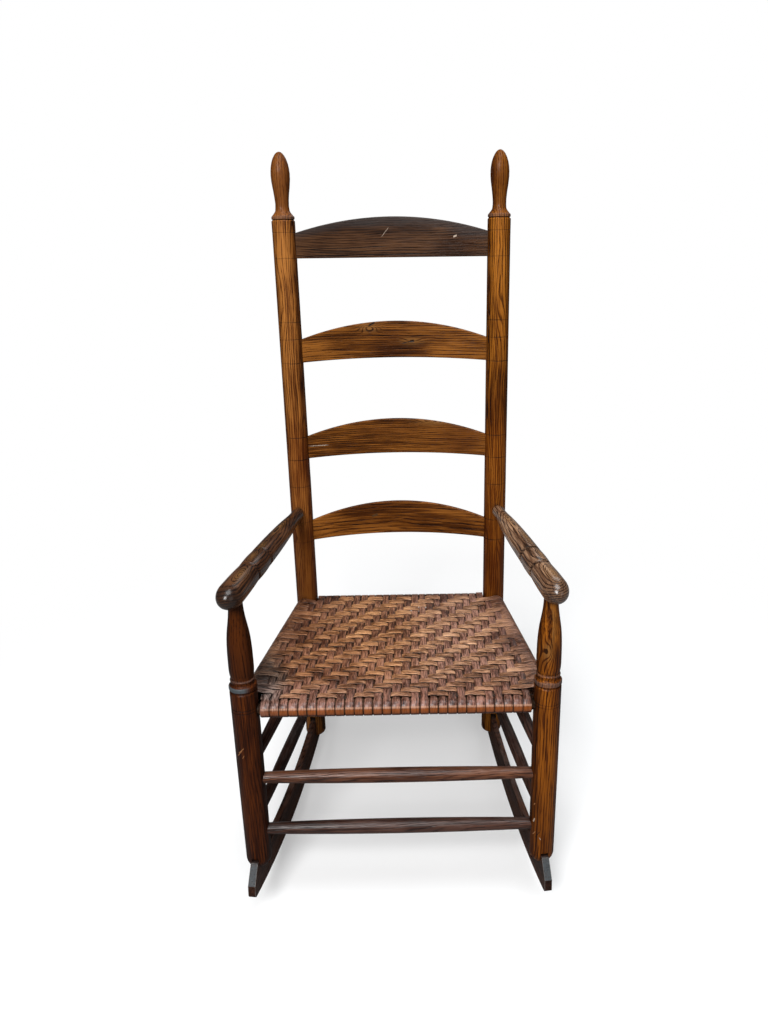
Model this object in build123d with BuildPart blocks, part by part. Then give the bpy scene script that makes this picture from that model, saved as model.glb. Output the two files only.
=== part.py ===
from build123d import *
import math
import os

# Ladder-back rocking chair: turned posts, steam-bent slats, turned arms, a seat
# woven from flat wood splints, and two rockers let into the slotted feet.
# Millimetres. Every piece is drawn with the posts upright: x to the right as seen
# from the front, y to the back, z up from the lowest point of the rockers, and
# y = 0 at the front posts. write() then tips it back with the chair as it stands.

# Plan of the four posts
FRONT_SPAN = 470.0           # between the axes of the front posts
REAR_SPAN = 377.0            # between the axes of the rear posts
DEPTH = 388.0                # from the front axes to the rear axes
FRONT_RADIUS = 21.2
REAR_RADIUS = 20.8

# Heights of the joints above the lowest point of the rockers
SEAT_HEIGHT = 343.5          # front and rear seat rails
SIDE_SEAT_HEIGHT = 350.0     # side seat rails, a little higher
FRONT_RUNG_HEIGHTS = {"upper": 217.0, "lower": 118.0}
SIDE_RUNG_HEIGHTS = {"upper": 237.0, "lower": 134.8}
REAR_RUNG_HEIGHT = 217.0
ARM_HEIGHT = 543.0

# Round tenons and their blind mortises
MORTISE_DEPTH = 26.0
RUNG_TENON = 18.0
SIDE_RUNG_TENON = 15.0
RAIL_TENON = 16.0
ARM_TENON = 14.0
RUNG_MIDDLE = 23.8           # diameter halfway along a front or rear rung
SIDE_RUNG_MIDDLE = 21.0
RAIL_DIAMETER = 25.0
RAIL_SHOULDER = 8.0          # length of the taper beside a rail's tenon

# Front post: foot, ring at seat level, vase, top tenon under the arm
FRONT_FOOT = 50.0
FRONT_FOOT_FLAT = 12.0       # radius of the flat end
FRONT_FOOT_ROUND = (18.4, 58.0)  # radius and height on the rounding above it
FRONT_FOOT_TAPER = 68.0      # where the cheeks of the foot begin to taper
FRONT_FOOT_RADIUS = 20.6
FRONT_SHAFT = 250.0          # the shaft has its full radius from here up
FRONT_SLOT_ROOF = 73.0
RING_GROOVE = 380.0          # v-groove under the collar band
COLLAR_TOP = 389.5
BEAD_NECK_RADIUS = 17.2      # between the collar and the small bead above it
BEAD_RADIUS = 18.9
VASE_FOOT = 402.5
VASE_FOOT_RADIUS = 17.6
VASE_BELLY = 424.0
VASE_BELLY_RADIUS = 19.1
VASE_SHOULDER = (16.7, 476.0)    # radius and height where the vase draws in to its neck
VASE_NECK_RADIUS = 11.0
ARM_SEAT = 525.5             # shoulder that carries the arm
ARM_POST_TENON = 16.0
ARM_POST_TENON_LENGTH = 22.0

# Rear post: foot, groove under the finial, finial
REAR_FOOT = 41.0
REAR_FOOT_FLAT = 16.0        # radius of the flat end
REAR_FOOT_TAPER = 50.0
REAR_SHAFT = (300.0, 600.0)  # heights between which the shaft has its full radius
REAR_SLOT_ROOF = 88.0
FINIAL_GROOVE = 1073.0
FINIAL_SHOULDER_RADIUS = 19.9
FINIAL_NECK = 1090.0
FINIAL_NECK_RADIUS = 12.1
FINIAL_BULB = 1145.0         # height of the widest part of the finial
FINIAL_BULB_RADIUS = 16.3
FINIAL_TIP = 1182.0

# Back slats: lower edge at the ends, arch of the lower edge, height of the ends,
# and crown of the arched top above the ends
SLATS = {
    "slat_top": (1009.0, 0.0, 43.0, 26.5),
    "slat_upper": (827.0, 3.8, 42.5, 28.0),
    "slat_lower": (646.0, 1.5, 43.0, 25.7),
    "slat_bottom": (480.5, 2.0, 41.0, 27.0),
}
SLAT_THICKNESS = 7.0
SLAT_BOW = 30.0              # how far the middle of a slat stands behind its ends
SLAT_TENON = 21.0
SLAT_ARRIS = 1.6             # rounding of the long edges between the posts
SLAT_PIN_DIAMETER = 5.0
SLAT_PIN_LENGTH = 26.0
SLAT_PIN_REACH = 19.0        # from the middle of the slat to the back of the post

# Turned arms: distances run along the arm from the axis of the rear post
ARM_GROOVES = {"left": (261.0, 326.0), "right": (274.0, 337.0)}
ARM_REAR_RADIUS = 9.8
ARM_SWELL = ((50.0, 11.6), (85.0, 13.2), (127.0, 15.6), (165.0, 17.0))  # distance, radius
ARM_FRONT_RADIUS = 20.3
ARM_OVERHANG = 43.5          # past the axis of the front post
ARM_NOSE = 30.0              # length of the rounded end
ARM_GROOVE_WIDTH = 9.0
ARM_GROOVE_DEPTH = 1.9

# Rockers, on the line through the front and the rear post of their side
ROCKER_RADIUS = 1000.0
ROCKER_LOW_POINT = 157.0     # behind the axis of the front post
ROCKER_HEIGHT = 52.0
ROCKER_THICKNESS = 12.0
ROCKER_NOSE = 49.0           # ahead of the axis of the front post
ROCKER_TAIL = 232.0          # behind the axis of the rear post
ROCKER_TAIL_HEIGHT = 34.0
ROCKER_TAIL_RAKE = 8.0       # how far the end face leans forward at its top
ROCKER_SLIM = 60.0           # behind the axis of the rear post, where the tail starts to slim
ROCKER_NOSE_HEIGHT = 43.0    # top of the blunt end face
ROCKER_SHOULDER = 26.0       # ahead of the front axis, where the top slopes down to the nose
ROCKER_CORNER = 6.0          # rounding of the lower corners of nose and tail, seen from the side
ROCKER_ARRIS = 1.5           # rounding of the upper edges
ROCKER_PIN_DIAMETER = 7.0
ROCKER_PIN_LENGTH = 36.0

# Woven seat: splints run front to back (warps), crossed by side-to-side wefts
SPLINT_THICKNESS = 1.1
WARP_PITCH = 13.7
WARP_WIDTH = 11.0
WARPS_PER_SIDE = 15          # besides the one on the centre line
FULL_WARPS_PER_SIDE = 11     # these go round the rear rail, the rest end in the weave
WEFT_ROWS = 25
WEFT_PITCH = 14.8
WEFT_WIDTH = 13.6
WEFT_MARGIN = 9.0            # from the axis of the front rail to the first row
WEFT_WRAP_RADIUS = 13.4      # inside of the wrap round a slanting side rail

# Rest pose: the posts tip back by this many degrees when the chair balances
LEAN = 8.85

SIDES = {"left": -1, "right": 1}
UP = Vector(0, 0, 1)
INWARD = {side: Vector(-side, 0, 0) for side in SIDES.values()}


# Setting out


def front_axis(side, height):
    """Point on the axis of a front post."""
    return Vector(side * FRONT_SPAN / 2, 0, height)


def rear_axis(side, height):
    """Point on the axis of a rear post."""
    return Vector(side * REAR_SPAN / 2, DEPTH, height)


def rearward(side):
    """Level direction from a front post to the rear post behind it."""
    return (rear_axis(side, 0) - front_axis(side, 0)).normalized()


SIDE_LENGTH = (rear_axis(1, 0) - front_axis(1, 0)).length


def lengthwise_plane(start, direction):
    """Upright plane through start: its x runs along direction, its y points up."""
    return Plane(origin=start, x_dir=direction, z_dir=direction.cross(UP))


def rocker_plane(side):
    """Middle plane of a rocker, with its origin under the front post's axis."""
    return lengthwise_plane(front_axis(side, 0), rearward(side))


def rocker_edge(distance, above):
    """Height of the rocker's lower edge, or of the curve parallel to it above."""
    drop = math.sqrt((ROCKER_RADIUS - above) ** 2 - (distance - ROCKER_LOW_POINT) ** 2)
    return ROCKER_RADIUS - drop


def write(builder, name):
    """Tip a finished piece back with the chair and write it."""
    piece = REST * builder.part
    piece.label = name
    export_step(piece, f"parts/{name}.step")


# Joinery cuts, each made in the part that is being built


def bore(start, direction, length, diameter):
    """Drill a round hole."""
    with BuildSketch(Plane(origin=start, z_dir=direction)) as hole:
        Circle(diameter / 2)
    extrude(hole.sketch, amount=length, mode=Mode.SUBTRACT)


def bore_mortise(axis_point, direction, post_radius, diameter):
    """Drill a blind mortise into the face of a post that looks along direction."""
    clear = 1.0
    start = axis_point + direction * (post_radius + clear)
    bore(start, direction * -1, MORTISE_DEPTH + clear, diameter)


def saw_slot(side, distance, foot, roof):
    """Saw the slot for the rocker up into the foot of a post."""
    clear = 10.0
    with BuildSketch(rocker_plane(side)) as slot:
        with Locations((distance, (foot + roof - clear) / 2)):
            Rectangle(4 * FRONT_RADIUS, roof - foot + clear)
    extrude(slot.sketch, amount=ROCKER_THICKNESS / 2, both=True, mode=Mode.SUBTRACT)


def rocker_pin_centre(side, distance):
    """Middle of the pin that holds a rocker in a foot."""
    below_top = 11.0
    height = rocker_edge(distance, ROCKER_HEIGHT) - below_top
    return front_axis(side, height) + rearward(side) * distance


def bore_rocker_pin(side, distance):
    """Drill across a foot and its rocker for the pin."""
    across = rocker_plane(side).z_dir
    reach = 2 * FRONT_RADIUS
    bore(rocker_pin_centre(side, distance) - across * reach, across, 2 * reach,
         ROCKER_PIN_DIAMETER)


# Slats


def slat_point(side, along, offset):
    """Point beside the straight end of a slat, along it from the face of the post."""
    face = REAR_SPAN / 2 - REAR_RADIUS
    radius = (face**2 + SLAT_BOW**2) / (2 * SLAT_BOW)
    slope = math.asin(face / radius)
    x = face + along * math.cos(slope) + offset * math.sin(slope)
    y = DEPTH - along * math.sin(slope) + offset * math.cos(slope)
    return (side * x, y)


def draw_slat_bend():
    """Plan of the bent part of a slat, between the posts."""
    half = SLAT_THICKNESS / 2
    with BuildLine() as outline:
        ThreePointArc(slat_point(1, 0, -half), (0, DEPTH + SLAT_BOW - half),
                      slat_point(-1, 0, -half))
        Line(slat_point(-1, 0, -half), slat_point(-1, 0, half))
        ThreePointArc(slat_point(-1, 0, half), (0, DEPTH + SLAT_BOW + half),
                      slat_point(1, 0, half))
        Line(slat_point(1, 0, half), slat_point(1, 0, -half))
    make_face(outline.line)


def draw_slat_tenon(side, start):
    """Plan of the straight end of a slat, or of its mortise, from start before the post."""
    half = SLAT_THICKNESS / 2
    with BuildLine() as outline:
        Polyline(slat_point(side, start, half), slat_point(side, SLAT_TENON, half),
                 slat_point(side, SLAT_TENON, -half), slat_point(side, start, -half), close=True)
    make_face(outline.line)


def draw_slat_elevation(bottom, arch, height, crown):
    """Front view of a slat between the posts: arched top, slightly arched lower edge."""
    past_bend = 3.0
    face = REAR_SPAN / 2 - REAR_RADIUS
    end = face + past_bend
    low = bottom - past_bend * 2 * arch / face
    high = bottom + height - past_bend * 2 * crown / face
    with BuildLine() as outline:
        ThreePointArc((-end, low), (0, bottom + arch + 0.01), (end, low))
        Line((end, low), (end, high))
        ThreePointArc((end, high), (0, bottom + height + crown), (-end, high))
        Line((-end, high), (-end, low))
    make_face(outline.line)


def slat_pin_start(side):
    """Where the pin of the top slat enters the back of the post."""
    bottom, _, height, _ = SLATS["slat_top"]
    x, y = slat_point(side, SLAT_TENON / 2, 0)
    return Vector(x, y, bottom + height / 2) - Vector(0, SLAT_PIN_LENGTH - SLAT_PIN_REACH, 0)


def slat(name):
    """Bent back slat with rounded long edges and square ends let into the posts."""
    bottom, arch, height, crown = SLATS[name]
    with BuildPart() as piece:
        with BuildSketch(Plane.XY.offset(bottom - 1)):
            draw_slat_bend()
        extrude(amount=height + crown + 2)
        with BuildSketch(Plane.XZ):
            draw_slat_elevation(bottom, arch, height, crown)
        extrude(amount=-2 * DEPTH, mode=Mode.INTERSECT)
        long_edges = piece.edges().filter_by(lambda edge: edge.length > REAR_SPAN / 2)
        fillet(long_edges, radius=SLAT_ARRIS)
        for side in SIDES.values():
            with BuildSketch(Plane.XY.offset(bottom)):
                draw_slat_tenon(side, 0)
            extrude(amount=height)
            if name == "slat_top":
                bore(slat_pin_start(side), Vector(0, 1, 0), SLAT_PIN_LENGTH, SLAT_PIN_DIAMETER)
    return piece


# Posts


def front_post(side):
    """Front post: slotted foot, shaft, ring, vase and the tenon under the arm."""
    r = FRONT_RADIUS
    tenon_top = ARM_SEAT + ARM_POST_TENON_LENGTH
    with BuildPart() as post:
        with BuildSketch(lengthwise_plane(front_axis(side, 0), Vector(1, 0, 0))):
            with BuildLine():
                Line((0, FRONT_FOOT), (FRONT_FOOT_FLAT, FRONT_FOOT))
                Spline((FRONT_FOOT_FLAT, FRONT_FOOT), FRONT_FOOT_ROUND,
                       (FRONT_FOOT_RADIUS, FRONT_FOOT_TAPER), tangents=((1, 0.8), (0, 1)))
                Polyline((FRONT_FOOT_RADIUS, FRONT_FOOT_TAPER), (r, FRONT_SHAFT),
                         (r, RING_GROOVE - 3), (r - 1.8, RING_GROOVE), (r + 0.4, RING_GROOVE + 3),
                         (r + 0.4, COLLAR_TOP - 1.5), (r - 0.8, COLLAR_TOP))
                ThreePointArc((r - 0.8, COLLAR_TOP), (BEAD_NECK_RADIUS + 1, COLLAR_TOP + 1.8),
                              (BEAD_NECK_RADIUS, COLLAR_TOP + 4.5))
                Line((BEAD_NECK_RADIUS, COLLAR_TOP + 4.5), (BEAD_NECK_RADIUS, COLLAR_TOP + 6.5))
                ThreePointArc((BEAD_NECK_RADIUS, COLLAR_TOP + 6.5), (BEAD_RADIUS, COLLAR_TOP + 8.5),
                              (VASE_FOOT_RADIUS - 0.2, COLLAR_TOP + 10.5))
                Line((VASE_FOOT_RADIUS - 0.2, COLLAR_TOP + 10.5), (VASE_FOOT_RADIUS, VASE_FOOT))
                Spline((VASE_FOOT_RADIUS, VASE_FOOT), (VASE_BELLY_RADIUS, VASE_BELLY),
                       VASE_SHOULDER, (VASE_NECK_RADIUS, ARM_SEAT), tangents=((0.25, 1), (0, 1)))
                Polyline((VASE_NECK_RADIUS, ARM_SEAT), (ARM_POST_TENON / 2, ARM_SEAT),
                         (ARM_POST_TENON / 2, tenon_top), (0, tenon_top), (0, FRONT_FOOT))
            make_face()
        revolve(axis=Axis(front_axis(side, 0), UP))
        for height in FRONT_RUNG_HEIGHTS.values():
            bore_mortise(front_axis(side, height), INWARD[side], r, RUNG_TENON)
        for height in SIDE_RUNG_HEIGHTS.values():
            bore_mortise(front_axis(side, height), rearward(side), r, SIDE_RUNG_TENON)
        bore_mortise(front_axis(side, SEAT_HEIGHT), INWARD[side], r, RAIL_TENON)
        bore_mortise(front_axis(side, SIDE_SEAT_HEIGHT), rearward(side), r, RAIL_TENON)
        saw_slot(side, 0, FRONT_FOOT, FRONT_SLOT_ROOF)
        bore_rocker_pin(side, 0)
    return post


def rear_post(side):
    """Rear post with its finial, mortised for slats, arm, rails and rungs."""
    r = REAR_RADIUS
    before_post = -2.0       # the slats' mortises are cut from just clear of the post
    with BuildPart() as post:
        with BuildSketch(lengthwise_plane(rear_axis(side, 0), Vector(1, 0, 0))):
            with BuildLine():
                Line((0, REAR_FOOT), (REAR_FOOT_FLAT, REAR_FOOT))
                ThreePointArc((REAR_FOOT_FLAT, REAR_FOOT), (REAR_FOOT_FLAT + 3.2, REAR_FOOT + 3),
                              (r - 0.2, REAR_FOOT_TAPER))
                Polyline((r - 0.2, REAR_FOOT_TAPER), (r, REAR_SHAFT[0]), (r, REAR_SHAFT[1]),
                         (r - 0.5, FINIAL_GROOVE - 2.5), (r - 1.1, FINIAL_GROOVE - 1.5),
                         (r - 2.6, FINIAL_GROOVE),
                         (FINIAL_SHOULDER_RADIUS, FINIAL_GROOVE + 1.5),
                         (FINIAL_SHOULDER_RADIUS, FINIAL_GROOVE + 5))
                Spline((FINIAL_SHOULDER_RADIUS, FINIAL_GROOVE + 5),
                       (FINIAL_NECK_RADIUS + 3.1, FINIAL_NECK - 6.5),
                       (FINIAL_NECK_RADIUS, FINIAL_NECK), tangents=((-0.8, 0.8), (-0.1, 1)))
                Spline((FINIAL_NECK_RADIUS, FINIAL_NECK), (FINIAL_NECK_RADIUS + 1.2, FINIAL_NECK + 26),
                       (FINIAL_BULB_RADIUS, FINIAL_BULB), tangents=((-0.1, 1), (0, 1)))
                Bezier((FINIAL_BULB_RADIUS, FINIAL_BULB), (FINIAL_BULB_RADIUS, FINIAL_TIP - 16),
                       (FINIAL_BULB_RADIUS / 2, FINIAL_TIP), (0, FINIAL_TIP))
                Line((0, FINIAL_TIP), (0, REAR_FOOT))
            make_face()
        revolve(axis=Axis(rear_axis(side, 0), UP))
        for bottom, _, height, _ in SLATS.values():
            with BuildSketch(Plane.XY.offset(bottom)):
                draw_slat_tenon(side, before_post)
            extrude(amount=height, mode=Mode.SUBTRACT)
        bore(slat_pin_start(side), Vector(0, 1, 0), SLAT_PIN_LENGTH, SLAT_PIN_DIAMETER)
        bore_mortise(rear_axis(side, ARM_HEIGHT), rearward(side) * -1, r, ARM_TENON)
        for height in SIDE_RUNG_HEIGHTS.values():
            bore_mortise(rear_axis(side, height), rearward(side) * -1, r, SIDE_RUNG_TENON)
        bore_mortise(rear_axis(side, SIDE_SEAT_HEIGHT), rearward(side) * -1, r, RAIL_TENON)
        bore_mortise(rear_axis(side, SEAT_HEIGHT), INWARD[side], r, RAIL_TENON)
        bore_mortise(rear_axis(side, REAR_RUNG_HEIGHT), INWARD[side], r, RUNG_TENON)
        saw_slot(side, SIDE_LENGTH, REAR_FOOT, REAR_SLOT_ROOF)
        bore_rocker_pin(side, SIDE_LENGTH)
    return post


# Rungs and seat rails


def rung(start, end, start_radius, end_radius, tenon, middle):
    """Turned rung: a barrel-shaped body that runs out into its round tenons."""
    direction = (end - start).normalized()
    length = (end - start).length
    near = (start_radius, tenon / 2)
    far = (length - end_radius, tenon / 2)
    first = start_radius - MORTISE_DEPTH
    last = length - end_radius + MORTISE_DEPTH
    with BuildPart() as piece:
        with BuildSketch(lengthwise_plane(start, direction)):
            with BuildLine():
                ThreePointArc(near, (length / 2, middle / 2), far)
                Polyline(far, (last, tenon / 2), (last, 0), (first, 0), (first, tenon / 2), near)
            make_face()
        revolve(axis=Axis(start, direction))
    return piece


def seat_rail(start, end, start_radius, end_radius):
    """Round rail under the weave, with a short taper to each tenon."""
    direction = (end - start).normalized()
    length = (end - start).length
    r = RAIL_DIAMETER / 2
    tenon = RAIL_TENON / 2
    first = start_radius - MORTISE_DEPTH
    last = length - end_radius + MORTISE_DEPTH
    with BuildPart() as piece:
        with BuildSketch(lengthwise_plane(start, direction)):
            with BuildLine():
                Polyline((first, 0), (first, tenon), (start_radius, tenon),
                         (start_radius + RAIL_SHOULDER, r),
                         (length - end_radius - RAIL_SHOULDER, r),
                         (length - end_radius, tenon), (last, tenon), (last, 0), close=True)
            make_face()
        revolve(axis=Axis(start, direction))
    return piece


def cross_rail(axis_point, post_radius, outward):
    """Front or rear seat rail: the side rails' mortises notch and lock its tenons."""
    rail = seat_rail(axis_point(-1, SEAT_HEIGHT), axis_point(1, SEAT_HEIGHT),
                     post_radius, post_radius)
    with BuildPart() as piece:
        add(rail.part)
        for side in SIDES.values():
            bore_mortise(axis_point(side, SIDE_SEAT_HEIGHT), rearward(side) * outward,
                         post_radius, RAIL_TENON)
    return piece


# Arms


def arm(name):
    """Turned arm: tenon in the rear post, two grooves, rounded end over the front."""
    side = SIDES[name]
    first_groove, second_groove = ARM_GROOVES[name]
    forward = rearward(side) * -1
    half = ARM_GROOVE_WIDTH / 2
    r = ARM_FRONT_RADIUS
    tip = SIDE_LENGTH + ARM_OVERHANG
    swell = r - 1.5          # radius beside the first groove
    with BuildPart() as piece:
        with BuildSketch(lengthwise_plane(rear_axis(side, ARM_HEIGHT), forward)):
            with BuildLine():
                Polyline((REAR_RADIUS - MORTISE_DEPTH, 0), (REAR_RADIUS - MORTISE_DEPTH, ARM_TENON / 2),
                         (REAR_RADIUS, ARM_TENON / 2), (REAR_RADIUS, ARM_REAR_RADIUS - 1.5))
                Spline((REAR_RADIUS, ARM_REAR_RADIUS - 1.5), *ARM_SWELL,
                       (first_groove - half, swell), tangents=((1, 0.6), (1, 0.01)))
                ThreePointArc((first_groove - half, swell),
                              (first_groove, swell - ARM_GROOVE_DEPTH),
                              (first_groove + half, swell))
                ThreePointArc((first_groove + half, swell),
                              ((first_groove + second_groove) / 2, swell + 0.8),
                              (second_groove - half, swell))
                ThreePointArc((second_groove - half, swell),
                              (second_groove, swell - ARM_GROOVE_DEPTH),
                              (second_groove + half, swell + 0.2))
                Spline((second_groove + half, swell + 0.2), (tip - ARM_NOSE, r),
                       tangents=((1, 0.05), (1, 0)))
                EllipticalCenterArc((tip - ARM_NOSE, 0), ARM_NOSE, r, start_angle=0, arc_size=90)
                Line((tip, 0), (REAR_RADIUS - MORTISE_DEPTH, 0))
            make_face()
        revolve(axis=Axis(rear_axis(side, ARM_HEIGHT), forward))
        seat_clear = 6.0
        bore(front_axis(side, ARM_SEAT - seat_clear), UP, seat_clear, 2 * VASE_NECK_RADIUS + 1)
        bore(front_axis(side, ARM_SEAT), UP, ARM_POST_TENON_LENGTH, ARM_POST_TENON)
    return piece


# Rockers


def rocker(side):
    """Rocker board, cut to parallel curves, with a sloped nose and a slimmer tail."""
    tail = SIDE_LENGTH + ROCKER_TAIL
    slim = SIDE_LENGTH + ROCKER_SLIM
    nose_low = (-ROCKER_NOSE, rocker_edge(-ROCKER_NOSE, 0))
    nose_top = (-ROCKER_SHOULDER, rocker_edge(-ROCKER_SHOULDER, ROCKER_HEIGHT))
    tail_low = (tail, rocker_edge(tail, 0))
    tail_top = (tail - ROCKER_TAIL_RAKE, rocker_edge(tail, 0) + ROCKER_TAIL_HEIGHT)
    slim_point = (slim, rocker_edge(slim, ROCKER_HEIGHT))
    with BuildPart() as board:
        with BuildSketch(rocker_plane(side)) as outline:
            with BuildLine():
                ThreePointArc(nose_low, (ROCKER_LOW_POINT, 0), tail_low)
                Line(tail_low, tail_top)
                Spline(tail_top, slim_point, tangents=((-1, -0.33), (-1, -0.31)))
                ThreePointArc(slim_point, (ROCKER_LOW_POINT, ROCKER_HEIGHT), nose_top)
                Polyline(nose_top, (-ROCKER_NOSE + 2, ROCKER_NOSE_HEIGHT), nose_low)
            make_face()
            for corner in (nose_low, tail_low):
                fillet(outline.vertices().sort_by_distance(corner)[0], radius=ROCKER_CORNER)
        extrude(amount=ROCKER_THICKNESS / 2, both=True)
        top = board.edges().filter_by(lambda edge: edge.length > ROCKER_TAIL / 2).sort_by(Axis.Z)[-4:]
        fillet(top, radius=ROCKER_ARRIS)
        for distance in (0, SIDE_LENGTH):
            bore_rocker_pin(side, distance)
    return board


def rocker_pins():
    """Pins through the four feet and the rockers between their cheeks."""
    with BuildPart() as pins:
        for side in SIDES.values():
            across = rocker_plane(side).z_dir
            for distance in (0, SIDE_LENGTH):
                centre = rocker_pin_centre(side, distance)
                with BuildSketch(Plane(origin=centre, z_dir=across)):
                    Circle(ROCKER_PIN_DIAMETER / 2)
                extrude(amount=ROCKER_PIN_LENGTH / 2, both=True)
    return pins


def slat_pins():
    """Pins that hold the ends of the top slat, driven in from the back."""
    with BuildPart() as pins:
        for side in SIDES.values():
            with BuildSketch(Plane(origin=slat_pin_start(side), z_dir=(0, 1, 0))):
                Circle(SLAT_PIN_DIAMETER / 2)
            extrude(amount=SLAT_PIN_LENGTH)
    return pins


# Woven seat

SEAT_TOP = SEAT_HEIGHT + RAIL_DIAMETER / 2 + SPLINT_THICKNESS
SEAT_BOTTOM = SEAT_HEIGHT - RAIL_DIAMETER / 2 - SPLINT_THICKNESS


def side_rail_x(y):
    """Distance of a side rail's axis from the centre line."""
    return FRONT_SPAN / 2 - y * (FRONT_SPAN - REAR_SPAN) / 2 / DEPTH


def warp_end(index):
    """How far back a warp runs before it is tucked into the weave."""
    edge = abs(index) * WARP_PITCH + WARP_WIDTH / 2
    gap = 2.0
    before_rear_rail = 23.0
    reach = FRONT_SPAN / 2 - RAIL_DIAMETER / 2 - gap - edge
    return min(reach * 2 * DEPTH / (FRONT_SPAN - REAR_SPAN), DEPTH - before_rear_rail)


def warp_splints():
    """Flat bands round the front and rear rails; the outer ones end at a side rail."""
    inner = RAIL_DIAMETER / 2
    outer = inner + SPLINT_THICKNESS
    with BuildPart() as splints:
        for index in range(-WARPS_PER_SIDE, WARPS_PER_SIDE + 1):
            with BuildSketch(Plane.YZ.offset(index * WARP_PITCH)):
                with Locations((DEPTH / 2, SEAT_HEIGHT)):
                    SlotCenterToCenter(DEPTH, 2 * outer)
                    SlotCenterToCenter(DEPTH, 2 * inner, mode=Mode.SUBTRACT)
                if abs(index) > FULL_WARPS_PER_SIDE:
                    end = warp_end(index)
                    with Locations((end, SEAT_HEIGHT)):
                        Rectangle(2 * DEPTH, 4 * outer, align=(Align.MIN, Align.CENTER),
                                  mode=Mode.SUBTRACT)
        extrude(amount=WARP_WIDTH / 2, both=True)
    return splints


def weft_levels(row, y):
    """Runs of warps that a weft goes over, as (first index, last index, is over)."""
    front = y - WEFT_WIDTH / 2
    last = FULL_WARPS_PER_SIDE
    while last < WARPS_PER_SIDE and warp_end(last + 1) >= front:
        last += 1
    runs = []
    for index in range(-last, last + 1):
        over = (index - row) % 4 in (0, 1) or abs(index) == last
        if runs and runs[-1][2] == over:
            runs[-1] = (runs[-1][0], index, over)
        else:
            runs.append((index, index, over))
    return runs


def weft_surface(row, y, rise):
    """Points along the top run of a weft, left to right, rise above its underside."""
    gap = (WARP_PITCH - WARP_WIDTH) / 2
    points = []
    for first, last, over in weft_levels(row, y):
        level = SEAT_TOP + rise if over else SEAT_TOP - 2 * SPLINT_THICKNESS + rise
        points.append(((first - 0.5) * WARP_PITCH + gap, level))
        points.append(((last + 0.5) * WARP_PITCH - gap, level))
    return points


def draw_wrapped_weft(row, y, rise, mode):
    """Area inside a weft that goes round both side rails, rise from its underside."""
    past_top = 35.0              # degrees that the wrap goes on past the top of the rail
    past_bottom = 25.0
    radius = WEFT_WRAP_RADIUS + rise
    x_rail = side_rail_x(y)
    down = math.radians(past_top)
    under = math.radians(past_bottom)
    leave_top = (x_rail - radius * math.sin(down), SIDE_SEAT_HEIGHT + radius * math.cos(down))
    land_top = SEAT_TOP + rise
    x_top = leave_top[0] - (leave_top[1] - land_top) / math.tan(down)
    leave_low = (x_rail + radius * math.sin(under), SIDE_SEAT_HEIGHT - radius * math.cos(under))
    land_low = SEAT_BOTTOM - rise
    x_low = leave_low[0] - (leave_low[1] - land_low) / math.tan(under)
    surface = weft_surface(row, y, rise)[1:-1]
    with BuildLine() as outline:
        Polyline((-leave_top[0], leave_top[1]), (-x_top, land_top), *surface,
                 (x_top, land_top), leave_top)
        ThreePointArc(leave_top, (x_rail + radius, SIDE_SEAT_HEIGHT), leave_low)
        Polyline(leave_low, (x_low, land_low), (-x_low, land_low), (-leave_low[0], leave_low[1]))
        ThreePointArc((-leave_low[0], leave_low[1]), (-x_rail - radius, SIDE_SEAT_HEIGHT),
                      (-leave_top[0], leave_top[1]))
    make_face(outline.line, mode=mode)


def draw_short_weft(row, y, limit):
    """Outline of a weft between two posts, which has no rail to go round."""
    lower = weft_surface(row, y, 0)[1:-1]
    upper = weft_surface(row, y, SPLINT_THICKNESS)[1:-1]
    ends = SEAT_TOP, SEAT_TOP + SPLINT_THICKNESS
    with BuildLine() as outline:
        Polyline((-limit, ends[0]), *lower, (limit, ends[0]), (limit, ends[1]),
                 *reversed(upper), (-limit, ends[1]), close=True)
    make_face(outline.line)


def weft_splints():
    """Bands woven two over, two under, shifted one warp on from row to row."""
    clear_of_post = 2.0
    between_front_posts = FRONT_SPAN / 2 - FRONT_RADIUS - clear_of_post
    between_rear_posts = REAR_SPAN / 2 - REAR_RADIUS - clear_of_post
    with BuildPart() as splints:
        for row in range(WEFT_ROWS):
            y = WEFT_MARGIN + (row + 0.5) * WEFT_PITCH
            with BuildSketch(Plane.XZ.offset(-y)):
                if row == 0:
                    draw_short_weft(row, y, between_front_posts)
                elif row == WEFT_ROWS - 1:
                    draw_short_weft(row, y, between_rear_posts)
                else:
                    draw_wrapped_weft(row, y, SPLINT_THICKNESS, Mode.ADD)
                    draw_wrapped_weft(row, y, 0, Mode.SUBTRACT)
        extrude(amount=WEFT_WIDTH / 2, both=True)
    return splints


# Rest pose and output

os.makedirs("parts", exist_ok=True)

# Tip the chair back about x, then set the rockers down on z = 0 and centre it in y
TIPPED = Location((0, 0, 0), (-LEAN, 0, 0))
rocker_boards = {name: rocker(side) for name, side in SIDES.items()}
rocker_box = (TIPPED * rocker_boards["right"].part).bounding_box()
REST = Location((0, -(rocker_box.min.Y + rocker_box.max.Y) / 2, -rocker_box.min.Z)) * TIPPED

for name, side in SIDES.items():
    write(rocker_boards[name], f"rocker_{name}")
    write(front_post(side), f"front_post_{name}")
    write(rear_post(side), f"rear_post_{name}")
    write(arm(name), f"arm_{name}")
    write(seat_rail(front_axis(side, SIDE_SEAT_HEIGHT), rear_axis(side, SIDE_SEAT_HEIGHT),
                    FRONT_RADIUS, REAR_RADIUS), f"seat_rail_{name}")
    for level, height in SIDE_RUNG_HEIGHTS.items():
        write(rung(front_axis(side, height), rear_axis(side, height), FRONT_RADIUS, REAR_RADIUS,
                   SIDE_RUNG_TENON, SIDE_RUNG_MIDDLE), f"{name}_stretcher_{level}")

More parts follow.
